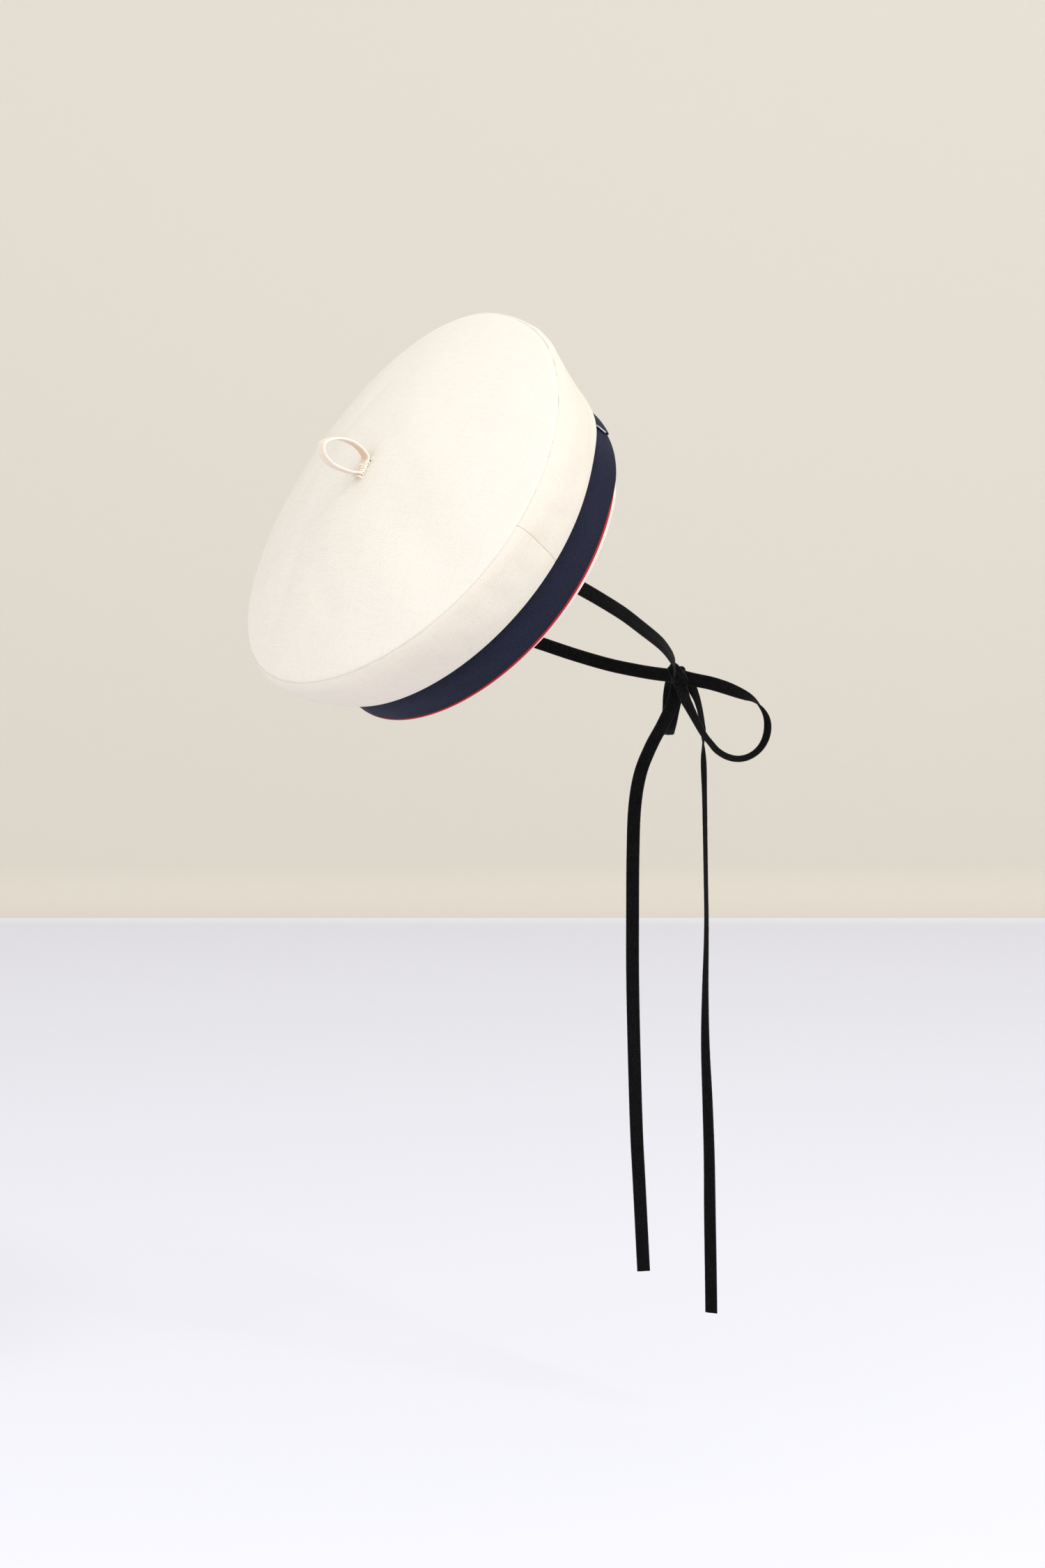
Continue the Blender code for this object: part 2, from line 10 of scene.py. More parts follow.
import bmesh
import bpy
from mathutils import Matrix, Vector, noise
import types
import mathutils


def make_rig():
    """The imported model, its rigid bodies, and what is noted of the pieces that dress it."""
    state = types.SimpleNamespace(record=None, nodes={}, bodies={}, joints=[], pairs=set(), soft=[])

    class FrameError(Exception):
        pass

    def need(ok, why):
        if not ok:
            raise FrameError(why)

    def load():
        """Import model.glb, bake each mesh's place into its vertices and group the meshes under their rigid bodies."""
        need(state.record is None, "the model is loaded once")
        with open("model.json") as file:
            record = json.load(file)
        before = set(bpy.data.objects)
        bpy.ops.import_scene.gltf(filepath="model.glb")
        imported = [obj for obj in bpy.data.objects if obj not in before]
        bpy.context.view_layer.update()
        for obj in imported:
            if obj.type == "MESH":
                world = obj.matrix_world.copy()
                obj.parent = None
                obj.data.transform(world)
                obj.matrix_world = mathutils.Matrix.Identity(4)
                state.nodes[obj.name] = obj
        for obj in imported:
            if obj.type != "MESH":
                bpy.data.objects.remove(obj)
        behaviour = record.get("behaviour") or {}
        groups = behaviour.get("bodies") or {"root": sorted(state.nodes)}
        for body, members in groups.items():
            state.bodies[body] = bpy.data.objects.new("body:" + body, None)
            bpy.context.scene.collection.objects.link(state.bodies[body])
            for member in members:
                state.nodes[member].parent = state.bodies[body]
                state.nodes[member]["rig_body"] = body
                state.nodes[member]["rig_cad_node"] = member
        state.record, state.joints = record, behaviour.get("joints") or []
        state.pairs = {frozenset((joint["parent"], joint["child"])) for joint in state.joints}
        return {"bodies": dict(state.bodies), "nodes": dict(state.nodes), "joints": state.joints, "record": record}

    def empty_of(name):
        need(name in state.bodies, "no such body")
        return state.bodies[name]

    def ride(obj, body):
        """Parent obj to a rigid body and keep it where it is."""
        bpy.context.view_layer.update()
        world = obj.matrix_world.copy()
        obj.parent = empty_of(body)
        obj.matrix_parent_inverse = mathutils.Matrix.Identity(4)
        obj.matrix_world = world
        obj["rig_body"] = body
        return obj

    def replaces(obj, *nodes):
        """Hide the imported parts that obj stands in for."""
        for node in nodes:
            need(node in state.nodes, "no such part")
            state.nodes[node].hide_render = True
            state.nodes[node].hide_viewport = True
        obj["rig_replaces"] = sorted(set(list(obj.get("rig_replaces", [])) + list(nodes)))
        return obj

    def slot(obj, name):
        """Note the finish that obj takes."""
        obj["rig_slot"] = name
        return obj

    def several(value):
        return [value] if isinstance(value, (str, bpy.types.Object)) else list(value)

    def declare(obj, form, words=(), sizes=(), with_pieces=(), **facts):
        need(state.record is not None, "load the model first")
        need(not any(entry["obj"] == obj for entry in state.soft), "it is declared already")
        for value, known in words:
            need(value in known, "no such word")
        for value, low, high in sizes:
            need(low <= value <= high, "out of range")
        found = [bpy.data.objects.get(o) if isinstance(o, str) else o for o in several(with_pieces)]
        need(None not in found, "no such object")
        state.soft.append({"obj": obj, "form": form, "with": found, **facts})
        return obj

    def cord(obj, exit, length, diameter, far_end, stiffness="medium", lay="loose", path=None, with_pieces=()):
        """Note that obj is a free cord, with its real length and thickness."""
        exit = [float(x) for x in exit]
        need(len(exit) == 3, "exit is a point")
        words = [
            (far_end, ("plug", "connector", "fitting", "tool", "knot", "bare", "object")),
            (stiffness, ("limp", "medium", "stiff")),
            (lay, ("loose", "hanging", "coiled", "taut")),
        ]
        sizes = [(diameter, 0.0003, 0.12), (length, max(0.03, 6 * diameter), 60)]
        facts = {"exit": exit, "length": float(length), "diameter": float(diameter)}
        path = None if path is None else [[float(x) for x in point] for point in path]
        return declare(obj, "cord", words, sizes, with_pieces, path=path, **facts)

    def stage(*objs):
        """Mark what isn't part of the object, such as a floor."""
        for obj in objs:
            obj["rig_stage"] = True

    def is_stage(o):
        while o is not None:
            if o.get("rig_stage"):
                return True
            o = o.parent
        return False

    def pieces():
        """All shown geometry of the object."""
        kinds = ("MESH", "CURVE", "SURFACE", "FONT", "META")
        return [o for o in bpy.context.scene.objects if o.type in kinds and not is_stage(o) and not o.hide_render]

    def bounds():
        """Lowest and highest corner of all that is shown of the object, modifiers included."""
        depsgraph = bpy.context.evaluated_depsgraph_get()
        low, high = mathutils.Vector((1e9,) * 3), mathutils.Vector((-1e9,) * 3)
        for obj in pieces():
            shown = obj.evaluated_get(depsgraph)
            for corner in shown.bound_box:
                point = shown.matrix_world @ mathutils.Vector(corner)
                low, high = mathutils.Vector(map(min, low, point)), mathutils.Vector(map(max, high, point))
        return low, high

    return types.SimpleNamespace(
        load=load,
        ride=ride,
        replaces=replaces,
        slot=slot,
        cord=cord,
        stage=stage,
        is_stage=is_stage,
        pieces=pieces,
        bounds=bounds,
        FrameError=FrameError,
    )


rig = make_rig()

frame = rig.load()
CAD_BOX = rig.bounds()

bl_info = {
    "name": "Sailor Cap",
    "version": (1, 0, 0),
    "blender": (4, 5, 0),
    "location": "3D View > Sidebar > Sailor Cap",
    "description": "Dresses a sailor cap in canvas, ribbed ribbon, edging and velvet ties",
    "category": "Object",
}

# The head and how the cap sits on it
HEAD_RADIUS = 0.0912
CAP_LEAN = math.radians(57.4)
BAND_DIP = 0.0021

# Thickness of each cloth, and the gap that touching pieces keep
CANVAS = 0.0015
GROSGRAIN = 0.0010
EDGING = 0.0012
VELVET = 0.0010
GAP = 0.0003

# The crown's outer face
SEAM_HALF_WIDTH = 0.1063
SEAM_HALF_LENGTH = 0.1083
SEAM_SHIFT_BACK = 0.0013
SEAM_HEIGHT = 0.0590
SIDE_DROOP = 0.0070
DOME_HEIGHT = 0.0790
CROWN_HANG = 0.0010
SIDE_SEAM_TURN = math.radians(6.5)
SIDE_PROFILE = [
    # reach, drop
    (1.00, 0.00),
    (1.13, 0.14),
    (1.10, 0.35),
    (0.89, 0.64),
    (0.66, 0.86),
    (0.44, 1.00),
]
TIP_DENTS = [
    # across, back, long, wide, turn, deep
    (0.62, -0.30, 0.42, 0.15, math.radians(-28), 0.0022),
    (0.48, 0.68, 0.34, 0.17, math.radians(52), 0.0012),
    (-0.30, -0.45, 0.40, 0.22, math.radians(80), 0.0012),
]
TIP_CREASES = [
    (-0.44, 0.36, 0.26, 0.050, math.radians(65), 0.0007),
    (-0.32, -0.50, 0.30, 0.055, math.radians(93), 0.0007),
    (-0.60, -0.10, 0.22, 0.060, math.radians(80), 0.0005),
    (0.60, 0.30, 0.26, 0.070, math.radians(22), 0.0006),
    (0.10, -0.62, 0.24, 0.080, math.radians(-38), 0.0006),
    (0.30, 0.05, 0.20, 0.060, math.radians(140), 0.0004),
]

# The turned-in cloth in the top seam
ALLOWANCE_RADIUS = 0.0009

# The bands below the crown
RIBBON_WIDTH = 0.0220
RED_SHOWS_AT_BACK = 0.0011
RED_SHOWS_AT_FRONT = 0.0026
CREAM_SHOWS_AT_BACK = 0.0033
RED_SEEN_HEIGHT = 0.0014
RED_SEEN_LOSS_AT_FRONT = 0.0001
RIBBON_OVERHANG = 0.0004
LAP_FROM = math.radians(50)
LAP_TO = math.radians(104)
LAP_LIFT = 0.0008
LAP_TURNED = 0.3
CUT_END_HEIGHTS = (0.0022, 0.0090)
CUT_END_COLOUR = (0.85, 0.84, 0.86)
BAND_FACE = HEAD_RADIUS + CANVAS
RIBBON_BACK = BAND_FACE + GAP
RIBBON_FACE = RIBBON_BACK + GROSGRAIN
RIB_FILL = 0.86

# The slack side by the lap, in degrees from the wearer's left
SLACK_ENDS = (100, 108)
RED_HIDES = (18, 34)
CREAM_HIDES = (24, 40)
CREAM_LOSS = 0.8
# middle, width, amount
BAND_SWELL = (38, 17, 0.0013)
SEAM_PRESS = (74, 15, 0.013)
SIDE_PRESS = (58, 13, 0.0040)
SIDE_PUSH = (39, 10, 0.0018)

# The loop on the crown's top
LOOP_TAPE_WIDTH = 0.0065
LOOP_TALL = 0.0256
LOOP_WIDE = 0.0156
LOOP_ACROSS = -0.0012
LOOP_BACK = 0.0028
LOOP_OUTLINE = [
    # back, up
    (-0.27, 0.00),
    (0.30, 0.00),
    (0.68, 0.02),
    (0.87, 0.09),
    (1.00, 0.27),
    (0.94, 0.51),
    (0.62, 0.76),
    (0.05, 0.96),
    (-0.38, 1.00),
    (-0.82, 0.89),
    (-1.00, 0.61),
    (-0.74, 0.25),
    (-0.48, 0.09),
]

# The velvet ties
TIE_WIDTH = 0.0070
TIE_STEP = 0.0013
PILE_PITCH = 0.00022
PILE_HAIR = (0.00052, 0.00009, 0.00009)
STRAP_TUCK = 0.0120
BOW_TURN = math.radians(53.4)
KNOT_PLACE = Vector((0.0300, 0.1111, -0.0621))
KNOT_DEEP = 0.0080
KNOT_OUT = 0.0078
KNOT_TALL = 0.0100

# Routes of the ties: a place, then the width's azimuth and elevation in degrees
LEFT_STRAP_ROUTE = [
    (0.0888, 0.0124, -0.0176, 92, 58),
    (0.0845, 0.0305, -0.0254, 98, 61),
    (0.0775, 0.0479, -0.0331, 106, 64),
    (0.0650, 0.0700, -0.0418, 118, 68),
    (0.0530, 0.0859, -0.0485, 128, 72),
    (0.0420, 0.0981, -0.0542, 136, 78),
    (0.0318, 0.1070, -0.0598, 143, 84),
]
RIGHT_STRAP_ROUTE = [
    *((-x, y, z, 180 - azimuth, rise) for x, y, z, azimuth, rise in LEFT_STRAP_ROUTE[:5]),
    (-0.0400, 0.0975, -0.0540, 44, 78),
    (-0.0230, 0.1062, -0.0585, 30, 84),
    (-0.0050, 0.1102, -0.0608, 10, 88),
    (0.0110, 0.1110, -0.0618, 0, 90),
    (0.0246, 0.1109, -0.0621, 0, 90),
]
LEFT_BOW_LOOP_ROUTE = [
    (0.0336, 0.1135, -0.0630, -100, -75),
    (0.0383, 0.1165, -0.0641, -98, -74),
    (0.0450, 0.1203, -0.0654, -96, -70),
    (0.0516, 0.1242, -0.0674, -90, -60),
    (0.0573, 0.1274, -0.0696, -80, -44),
    (0.0625, 0.1305, -0.0720, -71, -24),
    (0.0665, 0.1328, -0.0744, -59, 3),
    (0.0694, 0.1344, -0.0779, -37, 20),
    (0.0717, 0.1354, -0.0820, -18, 18),
    (0.0728, 0.1355, -0.0865, -9, 6),
    (0.0726, 0.1349, -0.0917, -11, -8),
    (0.0710, 0.1335, -0.0966, -20, -18),
    (0.0682, 0.1313, -0.1006, -32, -24),
    (0.0643, 0.1285, -0.1033, -45, -25),
    (0.0601, 0.1254, -0.1041, -55, -21),
    (0.0558, 0.1223, -0.1030, -61, -16),
    (0.0516, 0.1194, -0.1001, -64, -11),
    (0.0485, 0.1173, -0.0960, -64, -7),
    (0.0460, 0.1156, -0.0925, -66, -6),
    (0.0434, 0.1141, -0.0879, -69, -5),
    (0.0409, 0.1127, -0.0828, -74, -7),
    (0.0385, 0.1113, -0.0777, -81, -11),
    (0.0364, 0.1101, -0.0731, -89, -14),
    (0.0346, 0.1089, -0.0685, -95, -16),
]
RIGHT_BOW_LOOP_ROUTE = [
    (0.0274, 0.1150, -0.0602, 53, 0),
    (0.0212, 0.1193, -0.0607, 53, 0),
    (0.0090, 0.1265, -0.0630, 53, 0),
    (-0.0023, 0.1330, -0.0680, 53, 0),
    (-0.0092, 0.1372, -0.0756, 53, 0),
    (-0.0113, 0.1385, -0.0841, 53, 0),
    (-0.0088, 0.1360, -0.0913, 53, 0),
    (-0.0028, 0.1306, -0.0955, 53, 0),
    (0.0028, 0.1265, -0.0938, 53, 0),
    (0.0100, 0.1220, -0.0887, 53, 0),
    (0.0173, 0.1183, -0.0792, 53, 0),
    (0.0236, 0.1159, -0.0699, 53, 0),
    (0.0274, 0.1151, -0.0633, 53, 0),
]
LEFT_TAIL_ROUTE = [
    (0.0312, 0.1154, -0.0647, -88, -33),
    (0.0320, 0.1166, -0.0665, -83, -34),
    (0.0325, 0.1181, -0.0685, -79, -28),
    (0.0333, 0.1201, -0.0727, -69, -16),
    (0.0340, 0.1215, -0.0774, -64, -9),
    (0.0346, 0.1224, -0.0821, -62, -5),
    (0.0351, 0.1231, -0.0873, -61, -3),
    (0.0354, 0.1236, -0.0926, -59, -2),
    (0.0356, 0.1237, -0.1062, -17, 0),
    (0.0360, 0.1243, -0.1282, -20, 0),
    (0.0365, 0.1249, -0.1650, -23, 0),
    (0.0368, 0.1253, -0.1946, -22, 0),
    (0.0366, 0.1250, -0.2280, -12, 0),
    (0.0367, 0.1252, -0.2578, 0, 0),
    (0.0375, 0.1262, -0.2877, 10, 0),
    (0.0381, 0.1271, -0.3178, 16, 0),
    (0.0385, 0.1275, -0.3479, 22, 0),
    (0.0388, 0.1280, -0.3744, 24, 0),
    (0.0391, 0.1284, -0.4024, 25, 0),
]
RIGHT_TAIL_ROUTE = [
    (0.0279, 0.1119, -0.0670, 53, 0),
    (0.0267, 0.1120, -0.0714, 53, 0),
    (0.0219, 0.1127, -0.0791, 53, 0),
    (0.0131, 0.1143, -0.0889, 53, 0),
    (0.0014, 0.1162, -0.1008, 53, 0),
    (-0.0091, 0.1172, -0.1166, 53, 0),
    (-0.0136, 0.1170, -0.1357, 53, 0),
    (-0.0149, 0.1170, -0.1621, 53, 0),
    (-0.0149, 0.1169, -0.1962, 53, 0),
    (-0.0148, 0.1170, -0.2265, 53, 0),
    (-0.0143, 0.1177, -0.2646, 53, 0),
    (-0.0134, 0.1189, -0.3105, 53, 0),
    (-0.0124, 0.1202, -0.3413, 53, 0),
    (-0.0109, 0.1223, -0.3892, 53, 0),
]

TIP_FRAME = Matrix.Rotation(CAP_LEAN, 4, "X")
FULL_TURN = 2 * math.pi
AROUND = 288
LEFT_SEAM = -SIDE_SEAM_TURN
RIGHT_SEAM = math.pi + SIDE_SEAM_TURN

# The camera, and the floor that turns up into a wall
VIEW_TURN = math.radians(53.4)
CAMERA_PLACE = (1.2746, -0.9146, 0.0421)
CAMERA_DIP = 5.7
SENSOR_WIDTH = 36.0
LENS_PIXELS = 4440
PHOTO_WIDTH = 1500
FLOOR_FRONT = -2.6
FLOOR_HALF_WIDTH = 3.5
WALL_TALL = 3.0
CORNER_BEND = 0.06


# Settings that a user may change


def length_setting(name, text, default):
    """A small length, shown in the scene's own unit."""
    return bpy.props.FloatProperty(
        name=name, description=text, default=default, min=0.0, precision=5, unit="LENGTH"
    )


def colour_setting(name, text, default):
    """A cloth's own colour, linear."""
    return bpy.props.FloatVectorProperty(
        name=name, description=text, default=default, size=3, min=0, max=1, subtype="COLOR"
    )


class SailorCapCloth(bpy.types.PropertyGroup):
    """Sizes and colours of the cloth, ribbon and thread."""

    weave_pitch: length_setting(
        "Weave Pitch", "Distance between two threads of the canvas", 0.00064
    )
    rib_pitch: length_setting("Rib Pitch", "Distance between two ribs of the ribbon", 0.00092)
    rib_height: length_setting("Rib Height", "How far a rib stands off the ribbon", 0.00024)
    stitch_length: length_setting("Stitch Length", "One stitch with its gap", 0.0024)
    thread_thickness: length_setting("Thread", "Thickness of the sewing thread", 0.00030)
    cord_pitch: length_setting("Cord Pitch", "One turn of the red edge's twist", 0.00120)
    canvas_colour: colour_setting("Canvas", "Colour of the canvas", (0.818, 0.772, 0.698))
    thread_colour: colour_setting("Thread", "Colour of the thread", (0.640, 0.500, 0.350))
    navy_colour: colour_setting("Ribbon", "Colour of the ribbon", (0.0125, 0.0160, 0.0520))
    red_colour: colour_setting("Red Edge", "Colour of the edging", (0.520, 0.0080, 0.0180))
    velvet_colour: colour_setting("Velvet", "Colour of the ties", (0.0030, 0.0027, 0.0030))


class SailorCapStage(bpy.types.PropertyGroup):
    """The floor, the wall and the lights."""

    floor_drop: length_setting("Floor Drop", "Floor below the cap's origin", 0.4650)
    wall_away: length_setting("Wall Away", "Wall behind the cap's origin", 1.9700)
    wall_colour: colour_setting("Wall", "Colour of the wall", (0.690, 0.650, 0.567))
    floor_colour: colour_setting("Floor", "Colour of the floor", (0.765, 0.773, 0.840))
    key_power: bpy.props.FloatProperty(
        name="Key", description="Power of the large soft light", default=31.5, unit="POWER"
    )
    fill_power: bpy.props.FloatProperty(
        name="Fill", description="Power of the light from the other side", default=11.0,
        unit="POWER",
    )
    room_light: bpy.props.FloatProperty(
        name="Room", description="Strength of the light from all sides", default=0.96
    )


# The cap's shape, in its own frame


def curve_value(rows, place):
    """A smooth curve through the rows, read at a place from 0 to 1 along them."""
    last = len(rows) - 1
    spot = min(max(place, 0.0), 1.0) * last
    index = min(int(spot), last - 1)
    t = spot - index
    p0 = rows[max(index - 1, 0)]
    p1 = rows[index]
    p2 = rows[index + 1]
    p3 = rows[min(index + 2, last)]
    value = []
    for a, b, c, d in zip(p0, p1, p2, p3):
        bend = 2 * b + (c - a) * t + (2 * a - 5 * b + 4 * c - d) * t**2
        value.append(0.5 * (bend + (3 * b - a - 3 * c + d) * t**3))
    return value


def closed_curve_value(rows, place):
    """The same for a closed curve."""
    count = len(rows)
    looped = [rows[-1]] + list(rows) + [rows[0], rows[1]]
    return curve_value(looped, ((place % 1.0) * count + 1) / (count + 2))


def band_level(angle):
    """How far the band lies above its middle level."""
    return -BAND_DIP * math.cos(2 * angle)


def front_share(angle):
    """0 at the back, 1 at the front."""
    return (1 - math.sin(angle)) / 2


def red_shows(angle):
    """Height of the red edging below the ribbon."""
    extra = RED_SHOWS_AT_FRONT - RED_SHOWS_AT_BACK
    return RED_SHOWS_AT_BACK + extra * front_share(angle) ** 2


def eased(value, start, end):
    """0 before a start, 1 after an end, and a smooth rise between them."""
    share = min(max((value - start) / (end - start), 0.0), 1.0)
    return share * share * (3 - 2 * share)


def hump(value, middle, width, amount):
    """A smooth hump of an amount, round a middle."""
    return amount * math.exp(-(((value - middle) / width) ** 2))


def signed_degrees(angle):
    """An angle in degrees, from -180 to 180."""
    return (math.degrees(angle) + 180) % 360 - 180


def radial(angle):
    """The level direction out from the cap's middle."""
    return Vector((math.cos(angle), math.sin(angle), 0.0))


def ring_angles(count):
    """Angles all round the cap."""
    return [FULL_TURN * j / count for j in range(count)]


def lap_cover(angle):
    """1 where the slack ribbon by its lap hangs down over the red edge, else 0."""
    turn = math.degrees(angle) % 360
    return eased(turn, *RED_HIDES) * (1 - eased(turn, *SLACK_ENDS))


def band_swell(angle):
    """How far the band stands off beside the ribbon's lap."""
    return hump(signed_degrees(angle), *BAND_SWELL)


def red_height(angle):
    """Height of the thin red line that is seen."""
    return RED_SEEN_HEIGHT - RED_SEEN_LOSS_AT_FRONT * front_share(angle)


def ribbon_low(angle):
    """Level of the ribbon's lower edge, which comes down over the red at the front."""
    low = min(0.0, red_height(angle) - red_shows(angle))
    return low - (red_shows(angle) + low + RIBBON_OVERHANG) * lap_cover(angle)


def cream_shows(angle):
    """Height of the head band that shows below the red edging."""
    turn = math.degrees(angle) % 360
    slack = eased(turn, *CREAM_HIDES) * (1 - eased(turn, *SLACK_ENDS))
    return CREAM_SHOWS_AT_BACK * (1 - front_share(angle) ** 2) * (1 - CREAM_LOSS * slack)


def seam_point(angle):
    """A point on the seam round the crown's top."""
    slack = 1 - hump(signed_degrees(angle), *SEAM_PRESS)
    across = SEAM_HALF_WIDTH * math.cos(angle) * slack
    back = SEAM_SHIFT_BACK + SEAM_HALF_LENGTH * math.sin(angle) * slack
    return Vector((across, back, SEAM_HEIGHT - SIDE_DROOP * math.cos(angle) ** 2))


def dent_depth(across, back):
    """How far the soft dents sink the top panel at a place in it."""
    sunk = 0.0
    for at_across, at_back, long, wide, turn, deep in TIP_DENTS + TIP_CREASES:
        dx = across / SEAM_HALF_WIDTH - at_across
        dy = back / SEAM_HALF_LENGTH - at_back
        along = (dx * math.cos(turn) + dy * math.sin(turn)) / long
        beside = (-dx * math.sin(turn) + dy * math.cos(turn)) / wide
        sunk += deep * math.exp(-(along**2) - beside**2)
    return sunk


def soft_noise(angle, place, around, down, seed):
    """Smooth noise that joins up round the cap."""
    spot = Vector((math.cos(angle) * around, math.sin(angle) * around, place * down + seed))
    return noise.noise(spot)


def tip_point(angle, share):
    """A point on the top panel, from its middle (share 0) to the seam (share 1)."""
    edge = seam_point(angle)
    across = edge.x * share
    back = SEAM_SHIFT_BACK + (edge.y - SEAM_SHIFT_BACK) * share
    level = DOME_HEIGHT - (DOME_HEIGHT - edge.z) * share**2
    level -= dent_depth(across, back) * (1 - share**4)
    return Vector((across, back, level))


def tip_surface(angle, share):
    """The top panel with its small rumples, and the pucker that its seam gives it."""
    point = tip_point(angle, share)
    rumple = noise.noise(Vector((point.x * 24, point.y * 34, 4.1))) * 0.00085
    rumple += noise.noise(Vector((point.x * 66, point.y * 58, 9.7))) * 0.00022
    pucker = math.exp(-((1 - share) / 0.05)) * soft_noise(angle, share, 22, 1, 2.0) * 0.0004
    rolled = 0.0006 * max(0.0, (share - 0.990) / 0.010) ** 2
    point.z += (rumple + pucker) * (1 - share**12) - rolled
    return point


def side_point(angle, place):
    """A point on the side panel's outer face, from the seam (0) to the crown's foot (1)."""
    reach, drop = curve_value(SIDE_PROFILE, place)
    edge = seam_point(angle)
    foot_radius = RIBBON_FACE + band_swell(angle)
    inner = Vector((foot_radius * math.cos(angle), foot_radius * math.sin(angle)))
    out = inner + (edge.xy - inner) * reach
    foot = RIBBON_WIDTH - CROWN_HANG + band_level(angle)
    return Vector((out.x, out.y, edge.z + (foot - edge.z) * drop))


def side_surface(angle, place):
    """The side panel with its soft folds and the pucker below its seam."""
    point = side_point(angle, place)
    belly = math.sin(math.pi * min(1.0, place * 1.15)) if place < 0.87 else 0.0
    fold = soft_noise(angle, place, 3.2, 1.6, 7.0) * 0.0011 * belly
    fold += soft_noise(angle, place, 9.0, 3.0, 3.0) * 0.0008 * belly
    pucker = math.exp(-place / 0.10) * soft_noise(angle, 0.0, 24, 1, 5.0) * 0.0005
    pucker *= min(1.0, place / 0.04)
    turn = signed_degrees(angle)
    flat = hump(turn, *SIDE_PRESS)
    flat *= eased(place, 0.10, 0.45) * (1 - eased(place, 0.84, 0.98))
    flat -= hump(turn, *SIDE_PUSH) * eased(place, 0.76, 0.95)
    return point + radial(angle) * (fold + pucker - flat)


def ring_point(angle, radius, height):
    """A point on a ring round the band, at a height above the ribbon's lower edge."""
    radius += band_swell(angle) * min(max((radius - HEAD_RADIUS) / CANVAS, 0.0), 1.0)
    level = height + band_level(angle)
    return Vector((radius * math.cos(angle), radius * math.sin(angle), level))


def even_angles(start, end, steps):
    """Evenly spaced angles, with both ends."""
    return [start + (end - start) * i / steps for i in range(steps + 1)]


# Meshes and pieces


def flat_section(sides):
    """Round a flat strip's section: which face, and the share of its half width."""
    return [(face, face * (-1 + 2 * k / sides)) for face in (1, -1) for k in range(sides + 1)]


def woven_mesh(name, rows, pattern, closed=False, pole=None):
    """A sheet through rows of points, with a UV map in metres for its weave.

    The pattern has the same rows, each with one more entry where the sheet is closed.
    """
    columns = len(rows[0])
    spans = columns if closed else columns - 1
    points = [point for row in rows for point in row]
    faces = []
    places = []
    for i in range(len(rows) - 1):
        upper = i * columns
        lower = upper + columns
        for j in range(spans):
            k = (j + 1) % columns
            faces.append((upper + j, lower + j, lower + k, upper + k))
            above = pattern[i]
            below = pattern[i + 1]
            places += [above[j], below[j], below[j + 1], above[j + 1]]
    if pole is not None:
        points.append(pole[0])
        for j in range(spans):
            faces.append((len(points) - 1, j, (j + 1) % columns))
            places += [pole[1], pattern[0][j], pattern[0][j + 1]]
    mesh = bpy.data.meshes.new(name)
    mesh.from_pydata(points, [], faces)
    layer = mesh.uv_layers.new(name="Cloth")
    layer.data.foreach_set("uv", [value for place in places for value in place])
    mesh.shade_smooth()
    return mesh


def add_piece(mesh, look, slot, nodes=(), tipped=True, wall=0.0):
    """Show a mesh as a piece that rides on the cap, and hide the nodes that it stands for."""
    if tipped:
        mesh.transform(TIP_FRAME)
    made = bpy.data.objects.new(mesh.name, mesh)
    bpy.context.scene.collection.objects.link(made)
    mesh.materials.clear()
    mesh.materials.append(look)
    if wall:
        cloth = made.modifiers.new("Cloth", "SOLIDIFY")
        cloth.thickness = wall
        cloth.offset = -1.0
        cloth.use_even_offset = True
        cloth.use_quality_normals = True
    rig.ride(made, "root")
    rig.slot(made, slot)
    if nodes:
        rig.replaces(made, *nodes)
    return made


# Nodes


def fill_inputs(tree, node, inputs):
    """Set a node's inputs by name or number, or link other nodes' outputs to them."""
    for name, value in inputs.items():
        socket = node.inputs[name]
        if isinstance(value, bpy.types.Node):
            value = value.outputs[0]
        if isinstance(value, bpy.types.NodeSocket):
            tree.links.new(value, socket)
        elif socket.type == "RGBA":
            socket.default_value = (*value[:3], 1.0)
        else:
            socket.default_value = value


def add_node(tree, kind, inputs=None, **properties):
    """A node with its properties and then its inputs filled."""
    node = tree.nodes.new(kind)
    for name, value in properties.items():
        setattr(node, name, value)
    fill_inputs(tree, node, inputs or {})
    return node


def maths(tree, operation, *values):
    """One Math node, each value a number or another node's output."""
    inputs = dict(enumerate(values))
    return add_node(tree, "ShaderNodeMath", inputs, operation=operation).outputs["Value"]


def times(tree, first, second):
    """A product."""
    return maths(tree, "MULTIPLY", first, second)


def new_group(name, inputs, outputs, kind="ShaderNodeTree"):
    """A node group with named inputs and outputs."""
    tree = bpy.data.node_groups.new(name, kind)
    for label, socket_type, default in inputs:
        socket = tree.interface.new_socket(name=label, in_out="INPUT", socket_type=socket_type)
        if default is not None:
            socket.default_value = default
    for label, socket_type in outputs:
        tree.interface.new_socket(name=label, in_out="OUTPUT", socket_type=socket_type)
    return tree, tree.nodes.new("NodeGroupInput"), tree.nodes.new("NodeGroupOutput")


# Geometry Nodes for what repeats along a path


